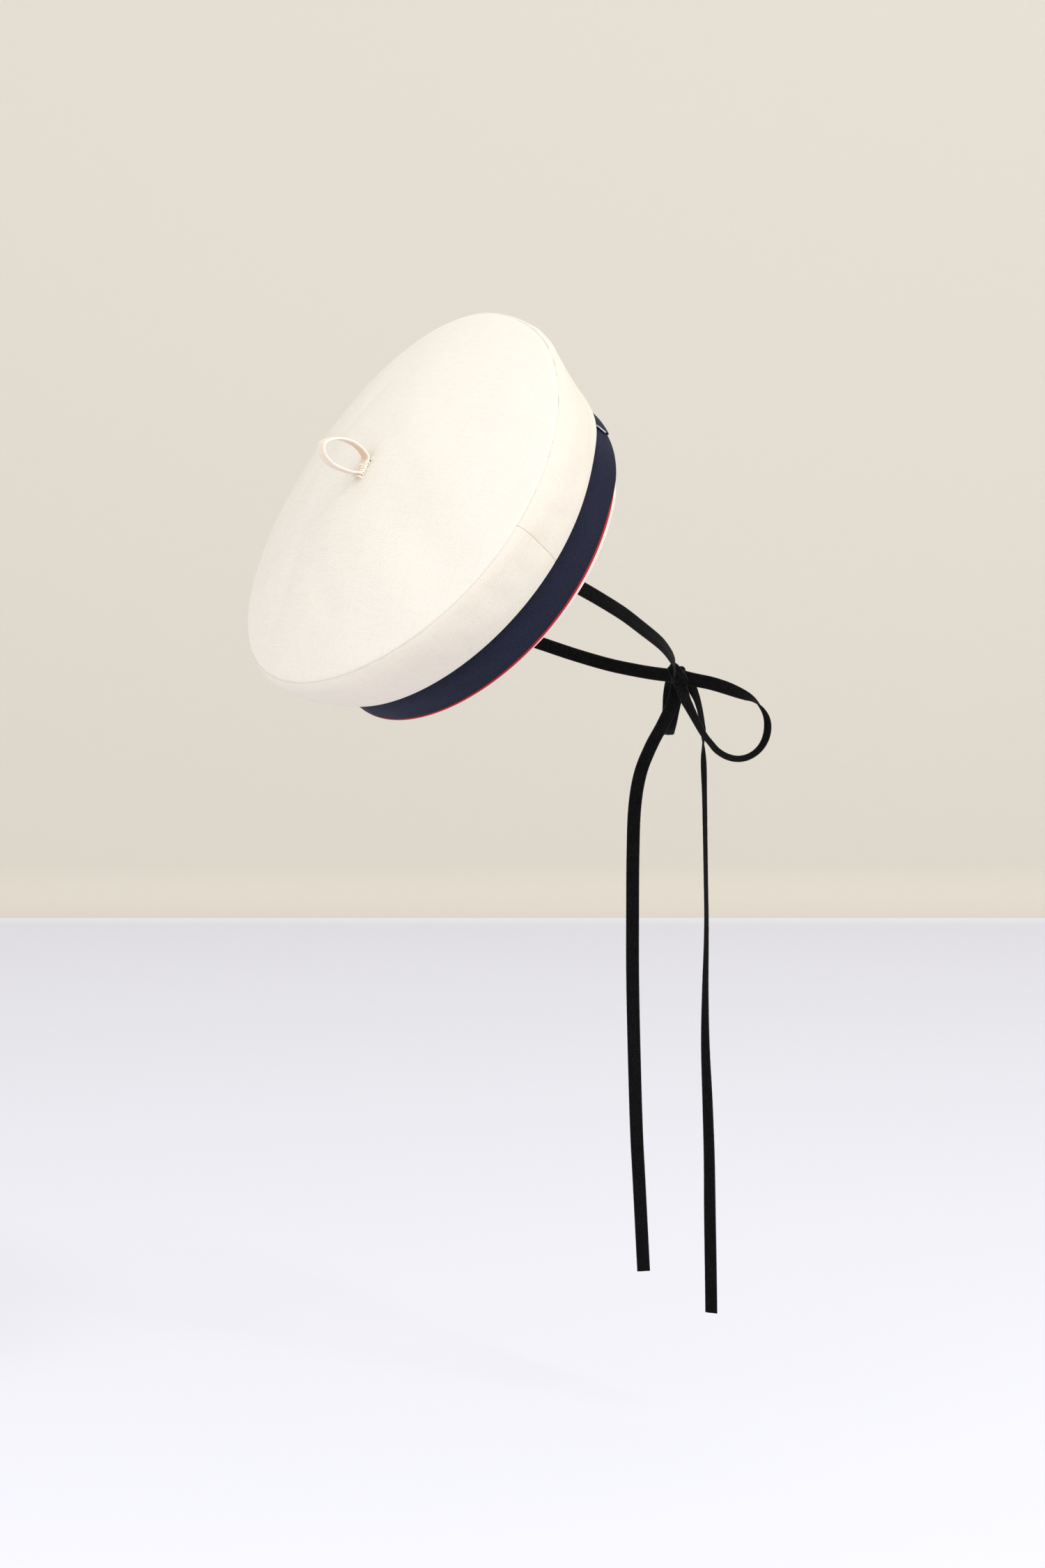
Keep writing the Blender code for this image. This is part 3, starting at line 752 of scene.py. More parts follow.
def repeat_tree():
    """Small rounded bars along a path, turned to face away from the cloth."""
    found = bpy.data.node_groups.get("Bars Along a Path")
    if found:
        return found
    tree, given, result = new_group(
        "Bars Along a Path",
        [
            ("Path", "NodeSocketGeometry", None),
            ("Spacing", "NodeSocketFloat", 0.002),
            ("Size", "NodeSocketVector", (0.001, 0.001, 0.001)),
            ("Slant", "NodeSocketFloat", 0.0),
            ("Slant Spread", "NodeSocketFloat", 0.0),
            ("Unevenness", "NodeSocketFloat", 0.05),
            ("Straight", "NodeSocketBool", False),
            ("Sides", "NodeSocketInt", 8),
            ("Rings", "NodeSocketInt", 4),
            ("Material", "NodeSocketMaterial", None),
        ],
        [("Bars", "NodeSocketGeometry")],
        "GeometryNodeTree",
    )
    asked = given.outputs

    def add(kind, inputs=None, **properties):
        return add_node(tree, kind, inputs, **properties)

    def spread(middle, wide, seed):
        low = maths(tree, "SUBTRACT", middle, wide)
        high = maths(tree, "ADD", middle, wide)
        chance = {2: low, 3: high, "Seed": seed}
        return add("FunctionNodeRandomValue", chance, data_type="FLOAT").outputs[1]

    line = add("GeometryNodeMeshToCurve", {"Mesh": asked["Path"]})
    places = add(
        "GeometryNodeResampleCurve", {"Curve": line, "Length": asked["Spacing"]}, mode="LENGTH"
    )
    ball = add(
        "GeometryNodeMeshUVSphere",
        {"Radius": 0.5, "Segments": asked["Sides"], "Rings": asked["Rings"]},
    )
    rod = add(
        "GeometryNodeMeshCylinder", {"Radius": 0.5, "Depth": 1.0, "Vertices": asked["Sides"]}
    )
    laid = add("GeometryNodeTransform", {"Rotation": (math.pi / 2, 0.0, 0.0), "Geometry": rod})
    bar = add(
        "GeometryNodeSwitch",
        {"Switch": asked["Straight"], "False": ball, "True": laid},
        input_type="GEOMETRY",
    )
    smooth = add("GeometryNodeSetShadeSmooth", {"Geometry": bar})
    facing = add(
        "GeometryNodeInputNamedAttribute", {"Name": "facing"}, data_type="FLOAT_VECTOR"
    )
    along = add(
        "FunctionNodeAlignRotationToVector", {"Vector": add("GeometryNodeInputTangent")},
        axis="X",
    )
    upright = add(
        "FunctionNodeAlignRotationToVector",
        {"Rotation": along, "Vector": facing.outputs["Attribute"]},
        axis="Z",
        pivot_axis="X",
    )
    slant = add(
        "ShaderNodeCombineXYZ", {"Z": spread(asked["Slant"], asked["Slant Spread"], 5)}
    )
    turned = add(
        "FunctionNodeRotateRotation",
        {"Rotation": upright, "Rotate By": add("FunctionNodeEulerToRotation", {"Euler": slant})},
        rotation_space="LOCAL",
    )
    scale = spread(1.0, asked["Unevenness"], 11)
    sized = add("ShaderNodeVectorMath", {"Vector": asked["Size"], "Scale": scale},
                operation="SCALE")
    bars = add(
        "GeometryNodeInstanceOnPoints",
        {"Points": places, "Instance": smooth, "Rotation": turned, "Scale": sized},
    )
    real = add("GeometryNodeRealizeInstances", {"Geometry": bars})
    paint = add("GeometryNodeSetMaterial", {"Geometry": real, "Material": asked["Material"]})
    fill_inputs(tree, result, {"Bars": paint})
    return tree


def bars_mesh(name, places, look, spacing, size, closed=False, slant=0.0, spread=0.0,
              uneven=0.05, sides=6, rings=4, straight=False):
    """The mesh of one row of bars along (point, facing) pairs."""
    path = [point for point, _ in places]
    facing = [out for _, out in places]
    count = len(path)
    edges = [(i, i + 1) for i in range(count - 1)]
    if closed:
        edges.append((count - 1, 0))
    line = bpy.data.meshes.new(name + "_path")
    line.from_pydata(path, edges, [])
    out = line.attributes.new("facing", "FLOAT_VECTOR", "POINT")
    out.data.foreach_set("vector", [value for vector in facing for value in vector])
    guide = bpy.data.objects.new(name + "_path", line)
    bpy.context.scene.collection.objects.link(guide)
    tree = repeat_tree()
    rule = guide.modifiers.new("Bars", "NODES")
    rule.node_group = tree
    values = {
        "Spacing": spacing,
        "Size": size,
        "Slant": slant,
        "Slant Spread": spread,
        "Unevenness": uneven,
        "Straight": straight,
        "Sides": sides,
        "Rings": rings,
        "Material": look,
    }
    for item in tree.interface.items_tree:
        if item.item_type == "SOCKET" and item.name in values:
            rule[item.identifier] = values[item.name]
    graph = bpy.context.evaluated_depsgraph_get()
    mesh = bpy.data.meshes.new_from_object(guide.evaluated_get(graph))
    mesh.name = name
    bpy.data.objects.remove(guide, do_unlink=True)
    if not mesh.vertices:
        raise RuntimeError(f"{name}: the row of bars came out empty")
    return mesh


def add_bars(name, places, look, slot, spacing, size, tipped=True, **shape):
    """Show a row of bars as a piece."""
    mesh = bars_mesh(name, places, look, spacing, size, **shape)
    return add_piece(mesh, look, slot, tipped=tipped)


# Shader groups


def mixed_colour(tree, share, first, second):
    """Two colours mixed by a share, each a colour or another node's output."""
    inputs = {0: share, 6: first, 7: second}
    return add_node(tree, "ShaderNodeMix", inputs, data_type="RGBA").outputs[2]


def tinted(colour, *factors):
    """A colour with its channels scaled, by one factor or by one each."""
    if len(factors) == 1:
        factors *= 3
    return tuple(min(1.0, c * k) for c, k in zip(colour, factors))


def noise_value(tree, vector, scale, detail=2.0, roughness=0.5):
    """Noise from 0 to 1 on a vector."""
    inputs = {"Vector": vector, "Scale": scale, "Detail": detail, "Roughness": roughness}
    return add_node(tree, "ShaderNodeTexNoise", inputs).outputs["Fac"]


def cloth_map(tree):
    """The cloth's own map, in metres."""
    return add_node(tree, "ShaderNodeUVMap", uv_map="Cloth").outputs["UV"]


def object_map(tree):
    """Places on the object, in metres."""
    return tree.nodes.new("ShaderNodeTexCoord").outputs["Object"]


def plain_weave_group():
    """Over and under threads of a plain weave, on a map in metres."""
    found = bpy.data.node_groups.get("Plain Weave")
    if found:
        return found
    tree, given, result = new_group(
        "Plain Weave",
        [("Vector", "NodeSocketVector", None), ("Pitch", "NodeSocketFloat", 0.0006)],
        [("Height", "NodeSocketFloat"), ("Tone", "NodeSocketFloat")],
    )
    where = given.outputs["Vector"]
    split = add_node(tree, "ShaderNodeSeparateXYZ", {"Vector": where})
    drift = times(tree, maths(tree, "SUBTRACT", noise_value(tree, where, 90), 0.5), 0.9)
    turns = {}
    waves = {}
    for axis in "XY":
        count = maths(tree, "DIVIDE", split.outputs[axis], given.outputs["Pitch"])
        turns[axis] = maths(tree, "ADD", count, drift)
        waves[axis] = maths(tree, "SINE", times(tree, turns[axis], math.pi))
    over = maths(tree, "GREATER_THAN", times(tree, waves["X"], waves["Y"]), 0.0)
    under = maths(tree, "SUBTRACT", 1.0, over)
    warp, weft = (maths(tree, "ABSOLUTE", waves[axis]) for axis in "XY")
    raised = []
    for share, warp_power, weft_power in ((over, 0.85, 0.35), (under, 0.35, 0.85)):
        bulge = times(
            tree, maths(tree, "POWER", warp, warp_power), maths(tree, "POWER", weft, weft_power)
        )
        raised.append(times(tree, bulge, share))
    height = maths(tree, "ADD", *raised)
    tones = []
    for axis, other in ("XY", "YX"):
        thread = add_node(
            tree,
            "ShaderNodeCombineXYZ",
            {axis: maths(tree, "FLOOR", turns[axis]), other: times(tree, turns[other], 0.03)},
        )
        tones.append(noise_value(tree, thread.outputs["Vector"], 1.7, 1.0))
    tone = times(tree, maths(tree, "ADD", *tones), 0.5)
    height = times(tree, height, maths(tree, "ADD", tone, 0.5))
    fill_inputs(tree, result, {"Height": height, "Tone": tone})
    return tree


def cloth_wear_group():
    """Slow, faint changes of tone that handled cloth has."""
    found = bpy.data.node_groups.get("Cloth Wear")
    if found:
        return found
    tree, given, result = new_group(
        "Cloth Wear",
        [("Vector", "NodeSocketVector", None), ("Scale", "NodeSocketFloat", 20.0)],
        [("Cloud", "NodeSocketFloat"), ("Lint", "NodeSocketFloat")],
    )
    asked = {name: given.outputs[name] for name in ("Vector", "Scale")}
    sized = add_node(tree, "ShaderNodeVectorMath", asked, operation="SCALE").outputs["Vector"]
    cloud = noise_value(tree, sized, 1.0, 3.0)
    lint = noise_value(tree, sized, 60.0, 2.0, 0.7)
    fill_inputs(tree, result, {"Cloud": cloud, "Lint": lint})
    return tree


def weave_and_wear(tree, pitch, scale):
    """The weave and the wear, placed on the cloth's own map."""
    where = cloth_map(tree)
    weave = add_node(
        tree, "ShaderNodeGroup", {"Vector": where, "Pitch": pitch},
        node_tree=plain_weave_group(),
    )
    wear = add_node(
        tree, "ShaderNodeGroup", {"Vector": where, "Scale": scale}, node_tree=cloth_wear_group()
    )
    return weave.outputs, wear.outputs


def bumped(tree, height, distance, strength=1.0, below=None):
    """A Bump node's normal."""
    inputs = {"Distance": distance, "Strength": strength, "Height": height}
    if below is not None:
        inputs["Normal"] = below
    return add_node(tree, "ShaderNodeBump", inputs).outputs["Normal"]


def new_material(name, roughness, sheen, sheen_tint=(1, 1, 1), sheen_roughness=0.5):
    """A cloth material with its constants on the shader's own sockets."""
    look = bpy.data.materials.new(name)
    look.use_nodes = True
    tree = look.node_tree
    shader = tree.nodes["Principled BSDF"]
    shader.inputs["Roughness"].default_value = roughness
    shader.inputs["Specular IOR Level"].default_value = 0.25
    shader.inputs["Sheen Weight"].default_value = sheen
    shader.inputs["Sheen Roughness"].default_value = sheen_roughness
    shader.inputs["Sheen Tint"].default_value = (*sheen_tint, 1.0)
    return look, tree, shader


def canvas_material(name, settings, tint=(1.0, 1.0, 1.0), fineness=1.0, relief=0.00010):
    """Cream cotton canvas in a plain weave."""
    look, tree, shader = new_material(name, 0.88, 0.12, (1.0, 0.97, 0.92))
    weave, wear = weave_and_wear(tree, settings.weave_pitch / fineness, 24.0)
    colour = tinted(settings.canvas_colour, *tint)
    deep = tinted(colour, 0.80, 0.77, 0.72)
    pale = tinted(colour, 1.03, 1.03, 1.02)
    # Painted shade in the weave's hollows: the low parts between threads mix towards deep, which also serves the
    # random slubs and cloud below.
    painted_gap_shade = maths(tree, "POWER", maths(tree, "SUBTRACT", 1.0, weave["Height"]), 2.2)
    base = mixed_colour(tree, times(tree, painted_gap_shade, 0.42), colour, deep)
    base = mixed_colour(tree, times(tree, weave["Tone"], 0.5), base, pale)
    slub = maths(tree, "MAXIMUM", 0.0, maths(tree, "SUBTRACT", 0.54, weave["Tone"]))
    base = mixed_colour(tree, times(tree, slub, 0.9), base, deep)
    base = mixed_colour(tree, times(tree, wear["Cloud"], 0.10), base, deep)
    rough = maths(tree, "ADD", 0.78, times(tree, wear["Lint"], 0.2))
    lint = bumped(tree, wear["Lint"], 0.00006, 0.5)
    normal = bumped(tree, weave["Height"], relief, 0.8, below=lint)
    fill_inputs(tree, shader, {"Base Color": base, "Roughness": rough, "Normal": normal})
    return look


def grosgrain_material(name, settings, shade=1.0):
    """Navy ribbon yarn with fine threads along the ribbon."""
    look, tree, shader = new_material(name, 0.60, 0.03, (0.55, 0.60, 0.85), 0.45)
    weave, wear = weave_and_wear(tree, 0.00030, 30.0)
    navy = tinted(settings.navy_colour, shade)
    dark = tinted(navy, 0.35)
    # Painted shade in the weave's hollows: the low parts mix towards the navy at 0.35, which the random cloud below
    # also uses.
    base = mixed_colour(tree, weave["Height"], dark, navy)
    flecks = maths(tree, "MAXIMUM", 0.0, maths(tree, "SUBTRACT", wear["Lint"], 0.5))
    base = mixed_colour(tree, times(tree, flecks, 2.2), base, tinted(navy, 2.4))
    base = mixed_colour(tree, times(tree, wear["Cloud"], 0.5), base, dark)
    normal = bumped(tree, weave["Height"], 0.00010, 0.9)
    fill_inputs(tree, shader, {"Base Color": base, "Normal": normal})
    return look


def thread_material(name, colour, sheen=0.1, shine=0.6, deep=0.55):
    """Sewing thread, finely twisted."""
    look, tree, shader = new_material(name, shine, sheen)
    twist = noise_value(tree, object_map(tree), 2600)
    base = mixed_colour(tree, twist, tinted(colour, deep), colour)
    normal = bumped(tree, twist, 0.00008, 0.7)
    fill_inputs(tree, shader, {"Base Color": base, "Normal": normal})
    return look


def velvet_material(name, settings):
    """Short black pile with a faint sheen, and painted highlights: grey glints in specks and along both edges of the
    tie.
    """
    look, tree, shader = new_material(name, 0.85, 0.07, (0.60, 0.58, 0.62), 0.30)
    shader.inputs["Specular IOR Level"].default_value = 0.05
    where = object_map(tree)
    pile = noise_value(tree, where, 1700, 3.0, 0.7)
    patches = noise_value(tree, where, 130)
    # Painted glints: specks of the pile noise, gathered in patches, mixed towards a lighter grey.
    painted_glints = maths(tree, "MAXIMUM", 0.0, maths(tree, "SUBTRACT", pile, 0.50))
    painted_glints = times(tree, times(tree, painted_glints, 3.5), patches)
    # Painted highlight along both edges of the tie.
    split = add_node(tree, "ShaderNodeSeparateXYZ", {"Vector": cloth_map(tree)})
    beside = maths(tree, "ABSOLUTE", split.outputs["Y"])
    painted_edge_highlight = maths(tree, "GREATER_THAN", beside, TIE_WIDTH * 0.44)
    painted_edge_highlight = times(tree, times(tree, painted_edge_highlight, pile), 0.55)
    share = maths(tree, "MINIMUM", 1.0, maths(tree, "ADD", painted_glints, painted_edge_highlight))
    # The painted highlight colour: the velvet at twelve times its brightness.
    painted_highlight_colour = tinted(settings.velvet_colour, 12.0)
    base = mixed_colour(tree, share, settings.velvet_colour, painted_highlight_colour)
    normal = bumped(tree, pile, 0.00010, 0.8)
    fill_inputs(tree, shader, {"Base Color": base, "Normal": normal})
    return look


# Velvet ties


def direction(azimuth, elevation):
    """A unit vector from an azimuth and an elevation in degrees."""
    turn = math.radians(azimuth)
    rise = math.radians(elevation)
    level = math.cos(rise)
    return Vector((level * math.cos(turn), level * math.sin(turn), math.sin(rise)))


def strap_route(side, route):
    """The strap's tucked end inside the band, then its route, on one side of the head."""
    radius = HEAD_RADIUS - GAP - VELVET / 2
    angle = -SIDE_SEAM_TURN
    across = -side * math.sin(angle)
    azimuth = math.degrees(math.atan2(math.cos(angle) * math.cos(CAP_LEAN), across))
    elevation = math.degrees(math.asin(math.cos(angle) * math.sin(CAP_LEAN)))
    rows = []
    for height in (STRAP_TUCK, STRAP_TUCK / 2, 0.0, -CREAM_SHOWS_AT_BACK):
        place = TIP_FRAME @ ring_point(angle, radius, height)
        rows.append((side * place.x, place.y, place.z, azimuth, elevation))
    return rows + route


def into_knot(route, starts=False, ends=True):
    """A route with a place inside the knot added at its start or near its end.

    Where both are added, the end's place comes just before the route's last row.
    """
    def inside(row):
        return (*Vector(row[:3]).lerp(KNOT_PLACE, 0.55), *row[3:])

    rows = list(route)
    if starts:
        rows.insert(0, inside(route[0]))
    if ends:
        rows.insert(len(route), inside(route[-1]))
    return rows


def travelled_route(route, step):
    """Places, directions and widths at even steps along a route."""
    rows = [(*row[:3], *direction(*row[3:])) for row in route]
    fine_count = 60 * (len(rows) - 1)
    fine = [curve_value(rows, i / fine_count) for i in range(fine_count + 1)]
    run = [0.0]
    for a, b in zip(fine, fine[1:]):
        run.append(run[-1] + math.dist(a[:3], b[:3]))
    steps = max(8, round(run[-1] / step))
    found = []
    index = 0
    for i in range(steps + 1):
        goal = run[-1] * i / steps
        while index < fine_count - 1 and run[index + 1] < goal:
            index += 1
        share = (goal - run[index]) / max(run[index + 1] - run[index], 1e-9)
        share = min(max(share, 0.0), 1.0)
        value = [a + (b - a) * share for a, b in zip(fine[index], fine[index + 1])]
        before = Vector(fine[max(index - 1, 0)][:3])
        after = Vector(fine[min(index + 2, fine_count)][:3])
        along = (after - before).normalized()
        wide = Vector(value[3:])
        wide = (wide - along * wide.dot(along)).normalized()
        found.append((Vector(value[:3]), along, wide, goal))
    return found, run[-1]


def tie_mesh(name, route, seed):
    """Velvet ribbon along a route, with a soft crease and a slightly uneven edge."""
    found, length = travelled_route(route, TIE_STEP)
    rows = []
    pattern = []
    for place, along, wide, gone in found:
        up = wide.cross(along)
        end = min(gone, length - gone)
        close = min(1.0, 0.35 + end / 0.0008)
        row = []
        marks = []
        fold = noise.noise(Vector((gone * 30, seed, 0.0))) * 0.12 - 0.30
        half = TIE_WIDTH / 2 * (1 + 0.012 * noise.noise(Vector((gone * 400, seed, 2.0))))
        for face, share in flat_section(9):
            edge = max(0.0, 1 - abs(share) ** 6) ** 0.5
            dip = -hump(share, fold, 0.16, 0.00026)
            cup = 0.00018 * share**2 * noise.noise(Vector((gone * 18, seed, 5.0)))
            thick = face * VELVET * 0.46 * (0.25 + 0.75 * edge) * close
            rough = noise.noise(Vector((gone * 900, share * 3, seed))) * 0.00006
            row.append(place + wide * share * half + up * (dip + cup + thick + rough * face))
            marks.append((gone, share * TIE_WIDTH / 2))
        rows.append(row)
        pattern.append(marks + [marks[0]])
    mesh = woven_mesh(name, rows, pattern, closed=True)
    close_ends(mesh, len(rows), len(rows[0]))
    return mesh, [place for place, _, _, _ in found], length


def weld_outwards(mesh, faces=()):
    """Add faces by their corners' numbers, merge doubles and turn all faces outwards."""
    form = bmesh.new()
    form.from_mesh(mesh)
    form.verts.ensure_lookup_table()
    for corners in faces:
        form.faces.new([form.verts[k] for k in corners])
    bmesh.ops.remove_doubles(form, verts=form.verts, dist=1e-7)
    bmesh.ops.recalc_face_normals(form, faces=form.faces)
    form.to_mesh(mesh)
    form.free()
    mesh.shade_smooth()


def close_ends(mesh, count, columns):
    """Close both ends of a tube of rows."""
    last = (count - 1) * columns
    weld_outwards(mesh, [range(columns), range(last, last + columns)])


def knot_core_mesh(name):
    """The lumpy core of the knot, mostly hidden by the band wound over it."""
    rows = []
    pattern = []
    turned = Matrix.Rotation(BOW_TURN, 4, "Z")
    rings = 32
    columns = 48
    for i in range(1, rings):
        tall = math.pi * i / rings
        row = []
        marks = []
        for j in range(columns):
            angle = FULL_TURN * j / columns
            spot = Vector(
                (math.sin(tall) * math.cos(angle), math.sin(tall) * math.sin(angle),
                 math.cos(tall))
            )
            spot *= sum(abs(value) ** 3 for value in spot) ** (-1 / 3)
            spot *= 1 - 0.12 * noise.noise(spot * 1.8 + Vector((3.1, 0.4, 7.7)))
            point = Vector(
                (spot.x * KNOT_OUT / 2, spot.y * KNOT_DEEP / 2, spot.z * KNOT_TALL / 2)
            )
            row.append(turned @ point + KNOT_PLACE)
            marks.append((j / columns * 0.02, i / rings * 0.01))
        rows.append(row)
        pattern.append(marks + [(0.02, marks[0][1])])
    mesh = woven_mesh(name, rows, pattern, closed=True)
    close_ends(mesh, rings - 1, columns)
    return mesh


def knot_band_mesh(name):
    """One turn of velvet wound tightly round the core, gathered where it pulls."""
    out = direction(math.degrees(BOW_TURN), 0)
    near = Vector((out.y, -out.x, 0.0))
    lean = math.radians(34)
    axis = out * math.cos(lean) + Vector((0, 0, 1)) * math.sin(lean)
    rise = Vector((0, 0, 1)) * math.cos(lean) - out * math.sin(lean)
    rows = []
    pattern = []
    columns = 64
    for j in range(columns):
        angle = FULL_TURN * j / columns
        outward = near * math.cos(angle) + rise * math.sin(angle)
        middle = KNOT_PLACE + near * math.cos(angle) * 0.0044 + rise * math.sin(angle) * 0.0058
        half = 0.0036 * (1 - 0.22 * math.sin(angle) ** 2)
        row = []
        marks = []
        for face, share in flat_section(12):
            edge = max(0.0, 1 - abs(share) ** 4) ** 0.5
            gather = math.cos(share * 7.5 + math.sin(angle * 2) * 0.9) * 0.00022
            bow = 0.0009 * (1 - share**2)
            thick = face * 0.0007 * (0.2 + 0.8 * edge)
            lift = bow + thick + (gather if face > 0 else 0.0)
            row.append(middle + axis * share * half + outward * lift)
            marks.append((angle * 0.005, share * half))
        rows.append(row)
        pattern.append(marks + [marks[0]])
    rows.append(rows[0])
    pattern.append([(FULL_TURN * 0.005, mark[1]) for mark in pattern[0]])
    mesh = woven_mesh(name, rows, pattern, closed=True)
    weld_outwards(mesh)
    return mesh


class SAILORCAP_OT_ties(bpy.types.Operator):
    """Tie the velvet ribbons in their bow."""

    bl_idname = "sailor_cap.ties"
    bl_label = "Velvet Ties"

    def execute(self, context):
        look = velvet_material("Black velvet", context.scene.sailor_cap_cloth)
        knot = add_piece(
            knot_core_mesh("knot_core"), look, "black_velvet", ["bow_knot"], tipped=False
        )
        band = add_piece(knot_band_mesh("knot_band"), look, "black_velvet", tipped=False)
        straps = (
            ("left_strap", into_knot(strap_route(1, LEFT_STRAP_ROUTE)), 1.0, "knot"),
            ("right_strap", into_knot(strap_route(-1, RIGHT_STRAP_ROUTE)), 2.0, "object"),
            ("left_bow_loop", into_knot(LEFT_BOW_LOOP_ROUTE, True), 3.0, "object"),
            ("right_bow_loop", into_knot(RIGHT_BOW_LOOP_ROUTE, True), 4.0, "object"),
            ("left_tail", into_knot(LEFT_TAIL_ROUTE, True, False), 5.0, "bare"),
            ("right_tail", into_knot(RIGHT_TAIL_ROUTE, True, False), 6.0, "bare"),
        )
        for node, route, seed, far_end in straps:
            mesh, path, length = tie_mesh(node + "_velvet", route, seed)
            tied = add_piece(mesh, look, "black_velvet", [node], tipped=False)
            carried = [knot, band] if node == "left_strap" else []
            carried += self.edge_pile(node, route, look)
            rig.cord(
                tied,
                exit=path[0],
                length=length,
                diameter=TIE_WIDTH,
                far_end=far_end,
                stiffness="limp",
                lay="hanging",
                path=path,
                with_pieces=carried,
            )
        return {"FINISHED"}

    def edge_pile(self, node, route, look):
        """Loose pile that stands out from both edges of a tie."""
        found, _ = travelled_route(route, TIE_STEP)
        made = []
        for side, name in ((1, "far"), (-1, "near")):
            places = []
            for place, along, wide, _ in found:
                places.append((place + wide * side * TIE_WIDTH * 0.49, wide.cross(along)))
            made.append(add_bars(
                f"{node}_{name}_pile", places, look, "black_velvet", PILE_PITCH, PILE_HAIR,
                tipped=False, slant=math.radians(90), spread=0.9, uneven=0.5, sides=3, rings=3,
            ))
        return made


# Crown


class SAILORCAP_OT_crown(bpy.types.Operator):
    """Make the domed top and the two side panels of the crown."""

    bl_idname = "sailor_cap.crown"
    bl_label = "Canvas Crown"

    def execute(self, context):
        settings = context.scene.sailor_cap_cloth
        look = canvas_material("Cream canvas", settings)
        rings = 72
        angles = ring_angles(AROUND)
        rows = []
        pattern = []
        for i in range(1, rings + 1):
            row = [tip_surface(angle, i / rings) for angle in angles]
            rows.append(row)
            marks = [(point.x, point.y) for point in row]
            pattern.append(marks + [marks[0]])
        middle = tip_surface(0.0, 0.0)
        pole = (middle, (middle.x, middle.y))
        mesh = woven_mesh("crown_top", rows, pattern, closed=True, pole=pole)
        add_piece(mesh, look, "cream_canvas", ["crown_tip"], wall=CANVAS)

        # The side panels take the canvas at 0.975, 0.955 and 0.92 of its colour: painted shade, darker and warmer than
        # the top.
        look = canvas_material("Side canvas", settings, (0.975, 0.955, 0.92))
        for node, start, end in (
            ("side_panel_back", LEFT_SEAM, RIGHT_SEAM),
            ("side_panel_front", RIGHT_SEAM, LEFT_SEAM + FULL_TURN),
        ):
            slit = 0.00002 / SEAM_HALF_WIDTH
            steps = round(AROUND * (end - start) / FULL_TURN)
            turns = even_angles(start + slit, end - slit, steps)
            fine = [k / SEAM_HALF_WIDTH for k in (0.0003, 0.0006, 0.0010, 0.0016)]
            turns[1:1] = [turns[0] + k for k in fine]
            turns[-1:-1] = [turns[-1] - k for k in reversed(fine)]
            add_piece(
                self.side_mesh(node + "_cloth", turns, start, end),
                look,
                "cream_canvas",
                [node],
                wall=CANVAS,
            )
        return {"FINISHED"}

    def side_mesh(self, name, turns, start, end):
        """One side panel, rolled in at its seams."""
        rows = []
        pattern = []
        count = 44
        first = 0.030
        run = 0.0
        before = None
        for i in range(count + 1):
            place = first + (1 - first) * i / count
            row = []
            for angle in turns:
                point = side_surface(angle, place)
                near = min(angle - start, end - angle) * SEAM_HALF_WIDTH
                sink = 0.00030 * math.exp(-near / 0.0005)
                roll = 0.0004 * math.exp(-(i / count) / 0.014)
                row.append(point - radial(angle) * (sink + roll))
            middle = row[len(row) // 2]
            if before is not None:
                run += (middle - before).length
            before = middle
            rows.append(row)
            pattern.append([(angle * SEAM_HALF_WIDTH, run) for angle in turns])
        hem = RIBBON_WIDTH + GAP
        for radius in (RIBBON_FACE + 0.0034, RIBBON_FACE + 0.0012, HEAD_RADIUS):
            rows.append([ring_point(angle, radius, hem) for angle in turns])
            run += 0.002
            pattern.append([(angle * SEAM_HALF_WIDTH, run) for angle in turns])
        return woven_mesh(name, rows, pattern)


# Bands


def swept_band(name, profile, angles):
    """A closed band through a profile of (radius, height) pairs that may follow the angle."""
    rows = []
    pattern = []
    run = 0.0
    before = None
    shapes = [profile(angle) for angle in angles]
    for k in range(len(shapes[0])):
        row = []
        for angle, shape in zip(angles, shapes):
            radius, height = shape[k]
            row.append(ring_point(angle, radius, height))
        if before is not None:
            run += (row[0] - before).length
        before = row[0]
        rows.append(row)
        marks = [(angle * BAND_FACE, run) for angle in angles]
        pattern.append(marks + [(FULL_TURN * BAND_FACE, run)])
    return woven_mesh(name, rows, pattern, closed=True)


